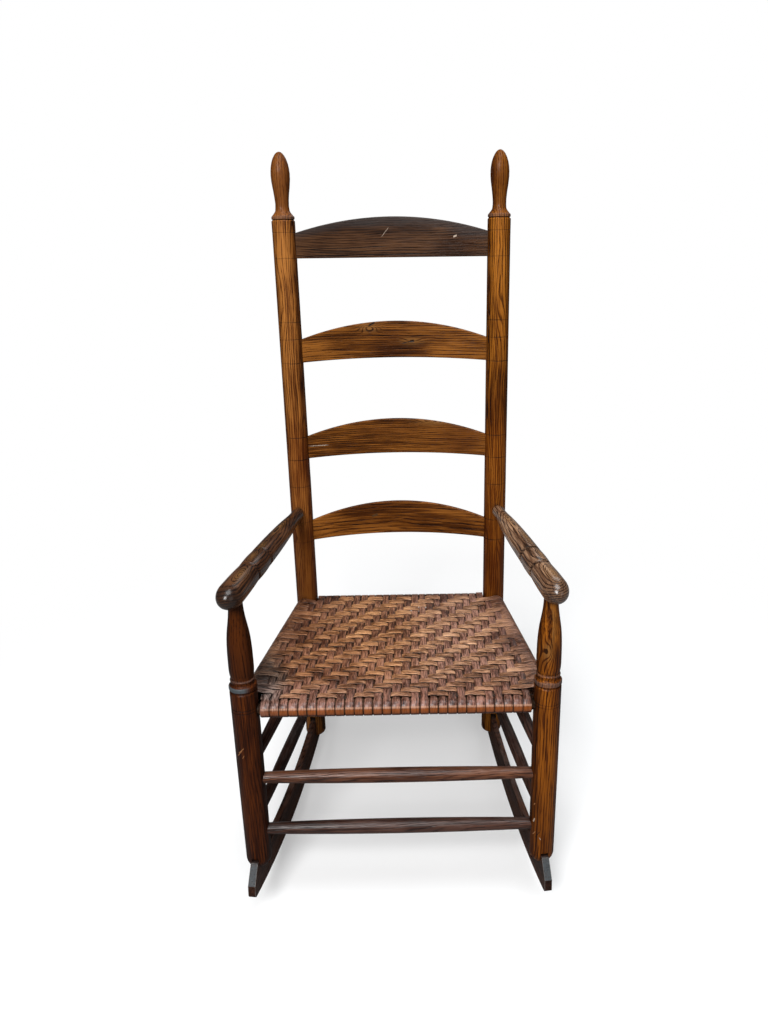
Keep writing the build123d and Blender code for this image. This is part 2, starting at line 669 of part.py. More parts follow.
for level, height in FRONT_RUNG_HEIGHTS.items():
    write(rung(front_axis(-1, height), front_axis(1, height), FRONT_RADIUS, FRONT_RADIUS,
               RUNG_TENON, RUNG_MIDDLE), f"front_stretcher_{level}")
write(rung(rear_axis(-1, REAR_RUNG_HEIGHT), rear_axis(1, REAR_RUNG_HEIGHT), REAR_RADIUS,
           REAR_RADIUS, RUNG_TENON, RUNG_MIDDLE), "rear_stretcher")
write(cross_rail(front_axis, FRONT_RADIUS, 1), "seat_rail_front")
write(cross_rail(rear_axis, REAR_RADIUS, -1), "seat_rail_rear")

for name in SLATS:
    write(slat(name), name)
write(slat_pins(), "slat_pins")
write(rocker_pins(), "rocker_pins")
write(warp_splints(), "seat_warp_splints")
write(weft_splints(), "seat_weft_splints")
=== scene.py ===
import math

import bpy
from mathutils import Matrix, Vector, noise


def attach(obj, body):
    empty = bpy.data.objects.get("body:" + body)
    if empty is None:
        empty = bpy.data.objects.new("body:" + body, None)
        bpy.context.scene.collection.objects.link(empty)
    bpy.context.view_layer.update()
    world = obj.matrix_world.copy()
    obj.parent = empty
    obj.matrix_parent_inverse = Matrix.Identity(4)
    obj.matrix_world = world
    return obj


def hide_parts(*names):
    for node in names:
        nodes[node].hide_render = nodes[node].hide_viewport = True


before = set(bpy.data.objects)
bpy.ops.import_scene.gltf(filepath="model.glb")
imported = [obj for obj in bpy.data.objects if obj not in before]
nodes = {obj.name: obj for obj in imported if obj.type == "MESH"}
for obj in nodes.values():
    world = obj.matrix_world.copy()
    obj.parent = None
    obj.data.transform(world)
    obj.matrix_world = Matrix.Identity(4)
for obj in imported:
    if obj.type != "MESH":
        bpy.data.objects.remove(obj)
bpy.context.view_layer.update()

# Setting out, in metres, with the posts upright: the same dimensions as the solids
FRONT_HALF = 0.235            # from the centre line to the axis of a front post
REAR_HALF = 0.1885
DEPTH = 0.388
POST_RADIUS = 0.0212
REAR_POST_RADIUS = 0.0208
SLAT_HALF = REAR_HALF - REAR_POST_RADIUS
SLAT_BOW = 1.067              # a slat's middle lies back by this times its half length squared
SEAT_HEIGHT = 0.3435
SIDE_SEAT_HEIGHT = 0.350
RAIL_RADIUS = 0.0125
RAIL_SLOPE = (FRONT_HALF - REAR_HALF) / DEPTH     # of the side rails, inwards to the back
ARM_HEIGHT = 0.543
ARM_END = 0.459               # from the rear post's axis to the front end of an arm
SIDE_RUNGS = {"upper": 0.237, "lower": 0.1348}
FRONT_RUNGS = {"upper": 0.217, "lower": 0.118}
REAR_RUNG = 0.217
SIDES = {"left": -1, "right": 1}

# The chair at rest: tipped back, then set down
LEAN = math.radians(8.85)
SET_DOWN = (0, -0.29236, 0.03583)
REST = Matrix.Translation(SET_DOWN) @ Matrix.Rotation(-LEAN, 4, "X")


def front_axis(side, height):
    return Vector((side * FRONT_HALF, 0, height))


def rear_axis(side, height):
    return Vector((side * REAR_HALF, DEPTH, height))


def rearward(side):
    return (rear_axis(side, 0) - front_axis(side, 0)).normalized()


def grain_frame(start, grain):
    """Frame at start whose z runs along the grain, in the chair as it stands."""
    z = Vector(grain).normalized()
    across = Vector((1, 0, 0)) if abs(z.x) < 0.9 else Vector((0, 1, 0))
    x = (across - z * across.dot(z)).normalized()
    turned = Matrix((x, z.cross(x), z)).transposed().to_4x4()
    return REST @ Matrix.Translation(start) @ turned


# Node helpers


class Shader:
    """Adds nodes to a tree; a value is a number, a tuple or another node's socket."""

    def __init__(self, tree):
        self.tree = tree
        tree.nodes.clear()

    def put(self, socket, value):
        if isinstance(value, bpy.types.NodeSocket):
            self.tree.links.new(value, socket)
        elif value is not None:
            socket.default_value = value

    def node(self, kind, **settings):
        made = self.tree.nodes.new(kind)
        for key, value in settings.items():
            setattr(made, key, value)
        return made

    def fed(self, kind, inputs, **settings):
        """A node with these inputs filled."""
        made = self.node(kind, **settings)
        for label, value in inputs.items():
            self.put(made.inputs[label], value)
        return made

    def math(self, operation, a, b=None, c=None, clamp=False):
        made = self.node("ShaderNodeMath", operation=operation, use_clamp=clamp)
        for socket, value in zip(made.inputs, (a, b, c)):
            self.put(socket, value)
        return made.outputs[0]

    def times(self, a, b):
        return self.math("MULTIPLY", a, b)

    def vector(self, operation, a, b=None):
        made = self.node("ShaderNodeVectorMath", operation=operation)
        self.put(made.inputs[0], a)
        self.put(made.inputs[1], b)
        return made.outputs["Value" if operation in ("LENGTH", "DOT_PRODUCT") else "Vector"]

    def split(self, vector):
        made = self.node("ShaderNodeSeparateXYZ")
        self.put(made.inputs[0], vector)
        return made.outputs

    def join(self, x, y, z):
        made = self.node("ShaderNodeCombineXYZ")
        for socket, value in zip(made.inputs, (x, y, z)):
            self.put(socket, value)
        return made.outputs[0]

    def noise(self, vector, stretch=(1, 1, 1), detail=2.0, roughness=0.5):
        stretched = self.vector("MULTIPLY", vector, stretch)
        return self.fed("ShaderNodeTexNoise", {"Vector": stretched, "Scale": 1.0, "Detail": detail,
                                               "Roughness": roughness}).outputs[0]

    def chance(self, value):
        """A random number from 0 to 1 that goes with value."""
        return self.fed("ShaderNodeTexWhiteNoise", {"W": value},
                        noise_dimensions="1D").outputs["Value"]

    def ranged(self, value, low, high, to_low=0.0, to_high=1.0, smooth=True):
        kind = "SMOOTHSTEP" if smooth else "LINEAR"
        made = self.node("ShaderNodeMapRange", interpolation_type=kind)
        for socket, item in zip(made.inputs, (value, low, high, to_low, to_high)):
            self.put(socket, item)
        return made.outputs[0]

    def ramp(self, value, stops):
        made = self.node("ShaderNodeValToRGB")
        band = made.color_ramp
        while len(band.elements) < len(stops):
            band.elements.new(0.5)
        for element, (place, colour) in zip(band.elements, stops):
            element.position = place
            element.color = (*colour, 1)
        self.put(made.inputs[0], value)
        return made.outputs[0]

    def mix(self, amount, a, b, blend="MIX"):
        made = self.node("ShaderNodeMix", data_type="RGBA", blend_type=blend)
        self.put(made.inputs[0], amount)
        for socket, value in zip(made.inputs[6:8], (a, b)):
            if isinstance(value, tuple) and len(value) == 3:
                value = (*value, 1)
            self.put(socket, value)
        return made.outputs[2]

    def centred(self, value):
        return self.math("SUBTRACT", value, 0.5)

    def oval(self, across, along, centre, half, place, reach):
        """1 at a point, fading over half across and reach along."""
        u = self.math("DIVIDE", self.math("SUBTRACT", across, centre), half)
        v = self.math("DIVIDE", self.math("SUBTRACT", along, place), reach)
        spread = self.math("MULTIPLY_ADD", v, v, self.times(u, u))
        return self.math("EXPONENT", self.times(spread, -1.0))

    def crevice(self, distance):
        """1 deep in a joint or gap, 0 in the open."""
        made = self.fed("ShaderNodeAmbientOcclusion", {"Distance": distance}, samples=6)
        return self.ranged(made.outputs["AO"], 0.3, 0.85, 1.0, 0.0)

    def facing(self, axis):
        """How far the surface faces along a world axis, from -1 to 1."""
        return self.split(self.node("ShaderNodeNewGeometry").outputs["Normal"])[axis]

    def rounded(self, radius):
        """The direction of the surface, with its edges rounded."""
        return self.fed("ShaderNodeBevel", {"Radius": radius}, samples=6).outputs[0]

    def bump(self, height, depth, base=None):
        """The direction of the surface, or of base, with a relief that is this deep."""
        return self.fed("ShaderNodeBump", {"Strength": 0.7, "Distance": depth, "Height": height,
                                           "Normal": base}).outputs[0]

    def show(self, surface, kind="Material"):
        self.fed("ShaderNodeOutput" + kind, {"Surface": surface})

    def near(self, value, centre, half, soft):
        """1 where value is within half of centre, down to 0 over the next soft."""
        away = self.math("ABSOLUTE", self.math("SUBTRACT", value, centre))
        return self.ranged(away, half, half + soft, 1.0, 0.0)


def blank_material(name):
    """A new material without nodes, and the Shader that fills it."""
    material = bpy.data.materials.new(name)
    material.use_nodes = True
    return material, Shader(material.node_tree)


def wood_figure():
    """Node group: annual rings, open pores, fibres and mottling along z."""
    tree = bpy.data.node_groups.new("wood_figure", "ShaderNodeTree")
    sockets = (("Vector", "Vector"), ("Seed", "Float"), ("Pith X", "Float"), ("Pith Y", "Float"),
               ("Tilt", "Float"), ("Ring", "Float"), ("Swell", "Float"), ("Line", "Float"))
    for label, kind in sockets:
        tree.interface.new_socket(label, in_out="INPUT", socket_type="NodeSocket" + kind)
    for label in ("Tone", "Early", "Pores", "Mottle", "Fibre", "Cloud"):
        tree.interface.new_socket(label, in_out="OUTPUT", socket_type="NodeSocketFloat")
    s = Shader(tree)
    given = s.node("NodeGroupInput").outputs
    place = given["Vector"]
    x, y, z = s.split(place)
    moved = s.vector("ADD", place, s.join(given["Seed"], given["Seed"], given["Seed"]))

    bend = s.centred(s.noise(moved, (3, 3, 4.5), 1.0))
    ripple = s.centred(s.noise(moved, (38, 38, 15), 3.0))
    radius = s.vector("LENGTH", s.join(s.math("SUBTRACT", x, given["Pith X"]),
                                       s.math("SUBTRACT", y, given["Pith Y"]), 0.0))
    radius = s.math("MULTIPLY_ADD", z, given["Tilt"], radius)
    radius = s.math("MULTIPLY_ADD", bend, 0.022, radius)
    radius = s.math("MULTIPLY_ADD", ripple, 0.0060, radius)
    radius = s.math("ADD", radius, given["Swell"])
    phase = s.math("DIVIDE", radius, given["Ring"])
    within = s.math("FRACT", phase)
    own = s.chance(s.math("ADD", s.math("FLOOR", phase), given["Seed"]))
    early = s.ramp(within, ((0.0, (0.8,) * 3), (0.08, (1.0,) * 3), (0.22, (0.6,) * 3),
                            (0.42, (0.1,) * 3), (0.94, (0.0,) * 3), (1.0, (0.8,) * 3)))
    early = s.times(early, s.ranged(own, 0, 1, 0.5, 1.0))
    broken = s.ranged(s.noise(moved, (300, 300, 26), 2.0), 0.35, 0.6, 0.5, 1.0)
    early = s.times(early, broken)

    dashes = s.ranged(s.noise(moved, (1300, 1300, 48), 1.0), 0.5, 0.62)
    pores = s.times(dashes, s.ranged(early, 0.05, 0.6, 0.12, 1.0))
    fibre = s.noise(moved, (620, 620, 12), 3.0, 0.65)
    streak = s.noise(moved, (260, 260, 8), 3.0, 0.6)
    mottle = s.noise(moved, (17, 17, 4.5), 3.0, 0.6)
    cloud = s.noise(moved, (8, 8, 5), 2.0, 0.55)

    tone = 0.82
    for wave, amount in ((fibre, 2.1), (streak, 0.8), (mottle, 1.6)):
        tone = s.math("MULTIPLY_ADD", s.centred(wave), amount, tone)
    line = s.times(early, given["Line"])
    tone = s.math("MULTIPLY_ADD", line, -1.05, tone)
    tone = s.math("MULTIPLY_ADD", pores, -0.42, tone)
    s.fed("NodeGroupOutput", {"Tone": tone, "Early": early, "Pores": pores, "Mottle": mottle,
                              "Fibre": fibre, "Cloud": cloud})
    return tree


FIGURE = wood_figure()

# Stain colours, from the lines of the grain to the clear wood between them
ORANGE = ((0.0125, 0.0026, 0.0003), (0.1070, 0.0290, 0.0017), (0.2600, 0.0900, 0.0090))
AMBER = ((0.0135, 0.0030, 0.0007), (0.1060, 0.0300, 0.0044), (0.2450, 0.0920, 0.0180))
POST_ORANGE = ((0.0120, 0.0022, 0.0003), (0.0880, 0.0200, 0.0010), (0.2350, 0.0710, 0.0050))
BROWN = ((0.0110, 0.0022, 0.0003), (0.0350, 0.0066, 0.0006), (0.0850, 0.0200, 0.0020))
SLAT_BROWN = ((0.0100, 0.0026, 0.0006), (0.0700, 0.0196, 0.0017), (0.1750, 0.0610, 0.0085))
SLAT_RED = ((0.0106, 0.0026, 0.0006), (0.0750, 0.0206, 0.0021), (0.1770, 0.0610, 0.0092))
SLAT_DARK = ((0.0030, 0.0013, 0.0006), (0.0262, 0.0100, 0.0040), (0.0620, 0.0270, 0.0110))
ARM_LEFT_BROWN = ((0.0030, 0.0014, 0.0010), (0.0310, 0.0115, 0.0050), (0.1000, 0.0410, 0.0170))
ARM_RIGHT_BROWN = ((0.016, 0.008, 0.005), (0.118, 0.057, 0.030), (0.300, 0.175, 0.100))
ARM_END_BROWN = (0.011, 0.006, 0.0045)
RUNG_RED = ((0.0090, 0.0025, 0.0011), (0.0550, 0.0165, 0.0066), (0.1300, 0.0500, 0.0240))
RUNG_DARK = ((0.0045, 0.0016, 0.0010), (0.0270, 0.0096, 0.0058), (0.0750, 0.0330, 0.0220))
ROCKER_BROWN = ((0.0046, 0.0016, 0.0009), (0.0260, 0.0088, 0.0042), (0.0600, 0.0225, 0.0120))
HIDDEN_RAIL = ((0.006, 0.003, 0.002), (0.022, 0.011, 0.006), (0.045, 0.024, 0.013))
# dark dirt, also the colour of painted shade in joints, gaps and covered places
DIRT_AND_SHADE = (0.007, 0.004, 0.003)
# grey wear, and a painted highlight on a bead
GREY_WEAR_AND_HIGHLIGHT = (0.110, 0.078, 0.066)
STEEL_GREY = (0.060, 0.070, 0.076)
GOLD = (0.300, 0.145, 0.040)
# dust, and a painted sheen on surfaces that face up
DUST_AND_SHEEN = (0.215, 0.175, 0.160)
PALE = (0.42, 0.33, 0.26)
SCRATCH = (0.30, 0.13, 0.05)
# a painted highlight along edges
EDGE_HIGHLIGHT = (0.30, 0.27, 0.25)
DIMPLE_LIP = (0.16, 0.13, 0.12)
FAINT_SPOT = (0.06, 0.03, 0.012)
VASE_DARKENING = (0.008, 0.0018, 0.0004)
POST_STAIN = (0.105, 0.020, 0.0015)
ARCH_STAIN = (0.035, 0.028, 0.026)
# These multiply the colour under them
DULLED = (0.42, 0.33, 0.28)
# painted shade, on the sides of a piece and towards the floor
SIDE_SHADE = (0.36, 0.30, 0.28)
FLOOR_SHADE = (0.42, 0.36, 0.34)
NOSE_DARK = (0.35, 0.28, 0.25)


def wood(name, where, tones, seed, pith=(0.03, 0.012), tilt=0.03, ring=0.0030, line=0.6,
         rough=0.50, coat=0.15, sheen=0.26, dust_and_sheen=0.0, cloud=0.75, bow=0.0, axis=0, knots=(),
         glow=0.0, floor_shade=0.0, shaded_sides=0.0, bevel=0.0, detail=()):
    """Stained ring-porous wood whose grain runs along the z of where.

    pith, tilt and ring set the annual rings out, and line is how dark they are. coat and sheen
    are the varnish, which a bevel keeps smooth. dust_and_sheen, cloud, floor_shade, shaded_sides
    and glow are amounts of dust with a painted sheen on top, dull patches, painted shade towards
    the floor, painted shade on the sides and gold at the knots. A board bends by bow, and axis is
    the one that knots are placed along, across the grain.
    """
    material, s = blank_material(name)
    world = s.node("ShaderNodeTexCoord").outputs["Object"]
    place = s.fed("ShaderNodeMapping", {"Vector": world, "Location": where.to_translation(),
                                        "Rotation": where.to_euler("XYZ")},
                  vector_type="TEXTURE").outputs[0]
    parts = s.split(place)
    if bow:
        # follow a bent board, so that its grain runs with the bend
        flat = s.math("MULTIPLY_ADD", s.times(parts[2], parts[2]), bow, parts[0])
        place = s.join(flat, parts[1], parts[2])
    swell = 0.0
    golden = 0.0
    for centre, along, half, reach, rise in knots:
        spot = s.oval(parts[axis], parts[2], centre, half, along, reach)
        swell = s.math("MULTIPLY_ADD", spot, rise, swell)
        golden = s.math("MAXIMUM", golden, spot)
    out = s.fed("ShaderNodeGroup", {
        "Vector": place, "Seed": seed, "Pith X": pith[0], "Pith Y": pith[1], "Tilt": tilt,
        "Ring": ring, "Swell": swell, "Line": line}, node_tree=FIGURE).outputs
    light = tuple(1.3 * channel for channel in tones[2])
    colour = s.ramp(out["Tone"], ((0.02, tones[0]), (0.52, tones[1]), (1.0, light)))
    dull = s.times(s.ranged(out["Cloud"], 0.48, 0.68), cloud)
    colour = s.mix(dull, colour, DULLED, "MULTIPLY")
    if shaded_sides:
        # painted shade: the sides that face left and right are darker, as under light from the
        # front
        side_shaded = s.ranged(s.math("ABSOLUTE", s.facing(0)), 0.45, 1.0, 0.0, shaded_sides)
        colour = s.mix(side_shaded, colour, SIDE_SHADE, "MULTIPLY")
    if floor_shade:
        # painted shade: darker towards the floor
        low = s.ranged(s.split(world)[2], 0.50, 0.03, 0.0, floor_shade, smooth=False)
        colour = s.mix(low, colour, FLOOR_SHADE, "MULTIPLY")
    if glow:
        lit = s.times(s.times(golden, glow), s.ranged(out["Early"], 0, 0.4, 1, 0.1))
        colour = s.mix(lit, colour, GOLD)
    height = s.math("MULTIPLY_ADD", out["Pores"], -0.8, s.times(out["Early"], -0.3))
    height = s.math("MULTIPLY_ADD", out["Fibre"], 0.35, height)
    roughness = s.math("MULTIPLY_ADD", s.centred(out["Mottle"]), 0.35, rough)
    roughness = s.math("MULTIPLY_ADD", out["Pores"], 0.2, roughness, clamp=True)
    if dust_and_sheen:
        # where it faces up: dust, and a painted sheen of the light from above
        patch = s.noise(place, (70, 70, 22), 4.0, 0.65)
        worn = s.times(s.ranged(s.facing(2), 0.1, 0.95), s.ranged(patch, 0.38, 0.68))
        colour = s.mix(s.times(worn, dust_and_sheen), colour, DUST_AND_SHEEN)
    for add in detail:
        colour, height, roughness = add(s, place, out, colour, height, roughness)
    # painted shade in joints and gaps, from ambient occlusion, in the dirt colour
    colour = s.mix(s.times(s.crevice(0.012), 0.8), colour, DIRT_AND_SHADE)

    # on a rounded end the varnish lies smooth over the pores
    smooth = s.rounded(bevel) if bevel else None
    rough_normal = s.bump(height, 0.0007, smooth)
    s.show(s.fed("ShaderNodeBsdfPrincipled", {
        "Base Color": colour, "Roughness": roughness, "Normal": rough_normal,
        "Coat Normal": smooth or rough_normal, "Specular IOR Level": 0.05,
        "Coat Weight": s.ranged(roughness, 0.62, 0.76, coat, 0.0),
        "Coat Roughness": sheen}).outputs[0])
    return material


def dress(node, material):
    """Give a CAD node its material."""
    for held in nodes[node].material_slots:
        held.material = material


def rings_cut(lines, half=0.0002, soft=0.0005, depth=0.8):
    """Detail: scribed lines round a turned piece, at heights along it."""

    def add(s, place, out, colour, height, roughness):
        wobble = s.centred(s.noise(place, (60, 60, 60), 2.0))
        z = s.math("MULTIPLY_ADD", wobble, 0.0012, s.split(place)[2])
        worn = s.ranged(out["Mottle"], 0.35, 0.55, depth, depth * 0.4)
        for line in lines:
            cut = s.times(s.near(z, line, half, soft), worn)
            colour = s.mix(cut, colour, DIRT_AND_SHADE)
            height = s.math("MULTIPLY_ADD", cut, -1.2, height)
            roughness = s.math("MULTIPLY_ADD", cut, 0.5, roughness, clamp=True)
        return colour, height, roughness

    return add


def banded(bands, axis=2, soft=0.0016):
    """Detail: bands (low, high, tint, amount) across the piece, of wear, stain, darkening
    and a painted highlight.
    """

    def add(s, place, out, colour, height, roughness):
        wobble = s.centred(s.noise(place, (90, 90, 30), 3.0))
        t = s.math("MULTIPLY_ADD", wobble, 0.004, s.split(place)[axis])
        for low, high, tint, amount in bands:
            inside = s.near(t, (low + high) / 2, (high - low) / 2, soft)
            patch = s.ranged(out["Fibre"], 0.35, 0.6, 0.6, 1.0)
            colour = s.mix(s.times(s.times(inside, patch), amount), colour, tint)
        return colour, height, roughness

    return add


def dabbed(low, high, centre, half, tint, amount):
    """Detail: a patch of old paint part of the way round a turned piece."""

    def add(s, place, out, colour, height, roughness):
        x, y, z = s.split(place)
        inside = s.times(s.near(z, (low + high) / 2, (high - low) / 2, 0.0010),
                         s.near(x, centre, half, half))
        inside = s.times(inside, s.ranged(y, 0.004, -0.004))
        inside = s.times(inside, s.ranged(out["Fibre"], 0.3, 0.5, 0.7, 1.0))
        return s.mix(s.times(inside, amount), colour, tint), height, roughness

    return add


def nose_sheen_and_wear(front):
    """Detail: a rocker's nose, grey on top from wear and a painted sheen, dark in front, and
    with a painted highlight along its edges.
    """

    def add(s, place, out, colour, height, roughness):
        geometry = s.node("ShaderNodeNewGeometry").outputs
        facing = s.split(geometry["True Normal"])
        ahead = s.ranged(s.split(place)[2], front + 0.012, front)
        flat = s.times(s.ranged(facing[2], 0.30, 0.45), ahead)
        patch = s.ranged(out["Fibre"], 0.35, 0.6, 0.55, 0.95)
        # grey on top: wear, and a painted sheen of the light from above
        colour = s.mix(s.times(flat, patch), colour, STEEL_GREY)
        blunt = s.times(s.ranged(facing[1], -0.8, -0.95), ahead)
        colour = s.mix(s.times(blunt, 0.6), colour, NOSE_DARK, "MULTIPLY")
        # a painted highlight along the edges of the nose
        same = s.vector("DOT_PRODUCT", s.rounded(0.0012), geometry["True Normal"])
        worn = s.times(s.times(s.ranged(same, 0.995, 0.9), ahead), 0.6)
        return s.mix(worn, colour, EDGE_HIGHLIGHT), height, roughness

    return add


def lathe_centre(end):
    """Detail: the dimple that the lathe's centre left in the end of an arm."""

    def add(s, place, out, colour, height, roughness):
        x, y, z = s.split(place)
        off = s.vector("LENGTH", s.join(x, y, 0.0))
        off = s.math("MULTIPLY_ADD", s.centred(out["Fibre"]), 0.002, off)
        ahead = s.ranged(z, end - 0.012, end - 0.008)
        hole = s.times(s.near(off, 0.0, 0.0016, 0.0010), ahead)
        lip = s.times(s.near(off, 0.0042, 0.0006, 0.0009), ahead)
        colour = s.mix(s.times(lip, 0.5), colour, DIMPLE_LIP)
        return s.mix(hole, colour, DIRT_AND_SHADE), s.math("MULTIPLY_ADD", hole, -2.0, height), roughness

    return add


def marked(marks, axis=0):
    """Detail: small marks (across, along, half width, half length, slope, tint, depth)."""

    def add(s, place, out, colour, height, roughness):
        parts = s.split(place)
        in_front = s.ranged(s.facing(1), 0.1, -0.1)
        rag = s.centred(s.noise(place, (420, 420, 420), 2.0))
        for across, along, half, reach, slope, tint, depth in marks:
            run = s.math("SUBTRACT", parts[2], along)
            off = s.math("SUBTRACT", parts[axis], across)
            off = s.math("MULTIPLY_ADD", run, -slope, off)
            off = s.math("MULTIPLY_ADD", rag, half, off)
            spot = s.times(s.near(off, 0.0, half * 0.5, half),
                           s.near(run, 0.0, reach * 0.7, reach * 0.5))
            spot = s.times(spot, in_front)
            colour = s.mix(spot, colour, tint)
            height = s.math("MULTIPLY_ADD", spot, -depth, height)
        return colour, height, roughness

    return add


def arch_stain(low, crown, reach, tint, amount):
    """Detail: dark stain along the arched top of a slat."""

    def add(s, place, out, colour, height, roughness):
        parts = s.split(place)
        t = s.math("DIVIDE", parts[2], SLAT_HALF)
        top = s.math("MULTIPLY_ADD", s.times(t, t), -crown, low + crown)
        below = s.math("SUBTRACT", top, parts[1])
        below = s.math("MULTIPLY_ADD", s.centred(out["Cloud"]), -0.05, below)
        stained = s.times(s.ranged(below, 0.0, reach, 1.0, 0.0), amount)
        colour = s.mix(stained, colour, tint)
        return colour, height, roughness

    return add


# Lower edge of each slat at the posts, and how tall it is there
SLAT_HEIGHTS = ((1.009, 0.043), (0.827, 0.0425), (0.646, 0.043), (0.4805, 0.041))
SCRIBED = [edge for low, tall in SLAT_HEIGHTS for edge in (low, low + tall)] + [0.593, 0.9, 1.073]
COLLAR = (0.3835, 0.3890)     # heights of the band that carries paint or wear

# Knots are (across, along, half width, half length, rise of the rings). Marks are explained
# at marked(). Both are in the frame of the grain.
FRONT_POST_LOOK = {
    "left": {"tones": BROWN, "seed": 3.1, "line": 0.25, "glow": 0.0, "knots": (), "dark": 0.50,
             "collar": dabbed(*COLLAR, -0.008, 0.012, STEEL_GREY, 0.95),
             "marks": ((-0.0075, 0.281, 0.0006, 0.005, 0.9, SCRATCH, 0.4),
                       (-0.0100, 0.276, 0.0005, 0.006, 0.7, SCRATCH, 0.3),
                       (-0.0050, 0.270, 0.0004, 0.003, 0.5, SCRATCH, 0.3))},
    "right": {"tones": POST_ORANGE, "seed": 8.7, "line": 0.6, "glow": 0.45, "dark": 0.0,
              "collar": banded(((*COLLAR, GREY_WEAR_AND_HIGHLIGHT, 0.55),)),
              "knots": ((-0.0035, 0.4426, 0.008, 0.016, 0.010),
                        (0.0020, 0.4900, 0.006, 0.045, 0.008)),
              "marks": ((-0.0160, 0.166, 0.0006, 0.002, 0.3, SCRATCH, 0.5),
                        (-0.0159, 0.135, 0.0007, 0.004, 0.2, PALE, 0.5),
                        (-0.0152, 0.110, 0.0005, 0.004, 0.4, SCRATCH, 0.5),
                        (-0.0060, 0.1025, 0.0006, 0.002, -0.5, PALE, 0.5),
                        (-0.0100, 0.1100, 0.0005, 0.006, 0.5, DIRT_AND_SHADE, 0.5),
                        (-0.0181, 0.060, 0.0005, 0.003, 0.1, SCRATCH, 0.5))},
}
REAR_POST_LOOK = {
    "left": {"tones": AMBER, "seed": 5.3, "finial": (0.115, 0.034, 0.006)},
    "right": {"tones": ORANGE, "seed": 1.9, "finial": (0.055, 0.012, 0.001)},
}
ARM_LOOK = {
    "left": {"tones": ARM_LEFT_BROWN, "seed": 6.2, "grooves": (0.261, 0.326), "end": 0.95,
             "coat": 0.6,
             "knots": ((-0.001, 0.247, 0.006, 0.017, 0.016), (-0.001, 0.297, 0.006, 0.018, 0.016),
                       (0.005, 0.372, 0.007, 0.024, 0.014), (0.000, 0.150, 0.005, 0.040, 0.007)),
             "glow": 0.35},
    "right": {"tones": ARM_RIGHT_BROWN, "seed": 2.6, "grooves": (0.274, 0.337), "end": 0.50,
              "coat": 1.0,
              "knots": ((0.004, 0.225, 0.006, 0.032, 0.016), (0.007, 0.306, 0.006, 0.016, 0.014),
                        (0.001, 0.388, 0.008, 0.028, 0.018), (0.000, 0.130, 0.005, 0.040, 0.007)),
              "glow": 0.55},
}

for name, side in SIDES.items():
    front = grain_frame(front_axis(side, 0), (0, 0, 1))
    rear = grain_frame(rear_axis(side, 0), (0, 0, 1))
    look = FRONT_POST_LOOK[name]
    dress(f"front_post_{name}", wood(
        f"front_post_{name}_wood", front, look["tones"], look["seed"],
        pith=(0.026 * side, -0.012), tilt=0.035, ring=0.0042, line=look["line"], coat=0.12,
        knots=look["knots"], glow=look["glow"], floor_shade=0.9, shaded_sides=0.85,
        # darker over the vase, by the amount under dark
        detail=(banded(((0.410, 0.545, VASE_DARKENING, look["dark"]),), soft=0.010),
                # a painted highlight: the thin pale band along the top of the bead
                look["collar"], banded(((0.3985, 0.4000, GREY_WEAR_AND_HIGHLIGHT, 0.35),)),
                rings_cut((0.346, 0.351, 0.3800, 0.3925, 0.4020), half=0.0004),
                marked(look["marks"]))))
    look = REAR_POST_LOOK[name]
    dress(f"rear_post_{name}", wood(
        f"rear_post_{name}_wood", rear, look["tones"], look["seed"],
        pith=(-0.024 * side, -0.016), tilt=0.028, ring=0.0042, line=0.62, coat=0.12,
        shaded_sides=0.9,
        knots=((0.004 * side, 0.50, 0.010, 0.060, 0.010), (-0.004, 0.93, 0.009, 0.080, 0.008)),
        detail=(banded(((1.0748, 1.0790, GREY_WEAR_AND_HIGHLIGHT, 0.45),)),
                banded(((1.085, 1.2, look["finial"], 0.7),), soft=0.012),
                banded(((0.30, 0.66, POST_STAIN, 0.40),), soft=0.10),
                rings_cut(SCRIBED, half=0.0003, depth=1.0))))
    look = ARM_LOOK[name]
    dress(f"arm_{name}", wood(
        f"arm_{name}_wood", grain_frame(rear_axis(side, ARM_HEIGHT), rearward(side) * -1),
        look["tones"], look["seed"], pith=(0.004, -0.034), tilt=0.012, ring=0.0036,
        line=0.9, rough=0.45, coat=look["coat"], sheen=0.22, knots=look["knots"],
        glow=look["glow"], bevel=0.003,
        detail=(rings_cut(look["grooves"], half=0.0025, soft=0.0050, depth=0.75),
                banded(((0.430, 0.50, ARM_END_BROWN, look["end"]),), soft=0.030),
                lathe_centre(ARM_END))))
    dress(f"rocker_{name}", wood(
        f"rocker_{name}_wood", grain_frame(front_axis(side, 0.03), rearward(side)),
        ROCKER_BROWN, 4.4 if name == "left" else 7.5, pith=(0.01, 0.05), tilt=0.02, line=0.5,
        dust_and_sheen=0.2, rough=0.6, detail=(nose_sheen_and_wear(-0.030),)))
    dress(f"seat_rail_{name}", wood(
        f"seat_rail_{name}_wood", grain_frame(front_axis(side, SIDE_SEAT_HEIGHT), rearward(side)),
        HIDDEN_RAIL, 2.2 + side, rough=0.7))
    for level, height in SIDE_RUNGS.items():
        dress(f"{name}_stretcher_{level}", wood(
            f"{name}_stretcher_{level}_wood",
            grain_frame(front_axis(side, height), rearward(side)), RUNG_DARK,
            height * 17 + side, line=0.5, dust_and_sheen=0.15, floor_shade=0.6))

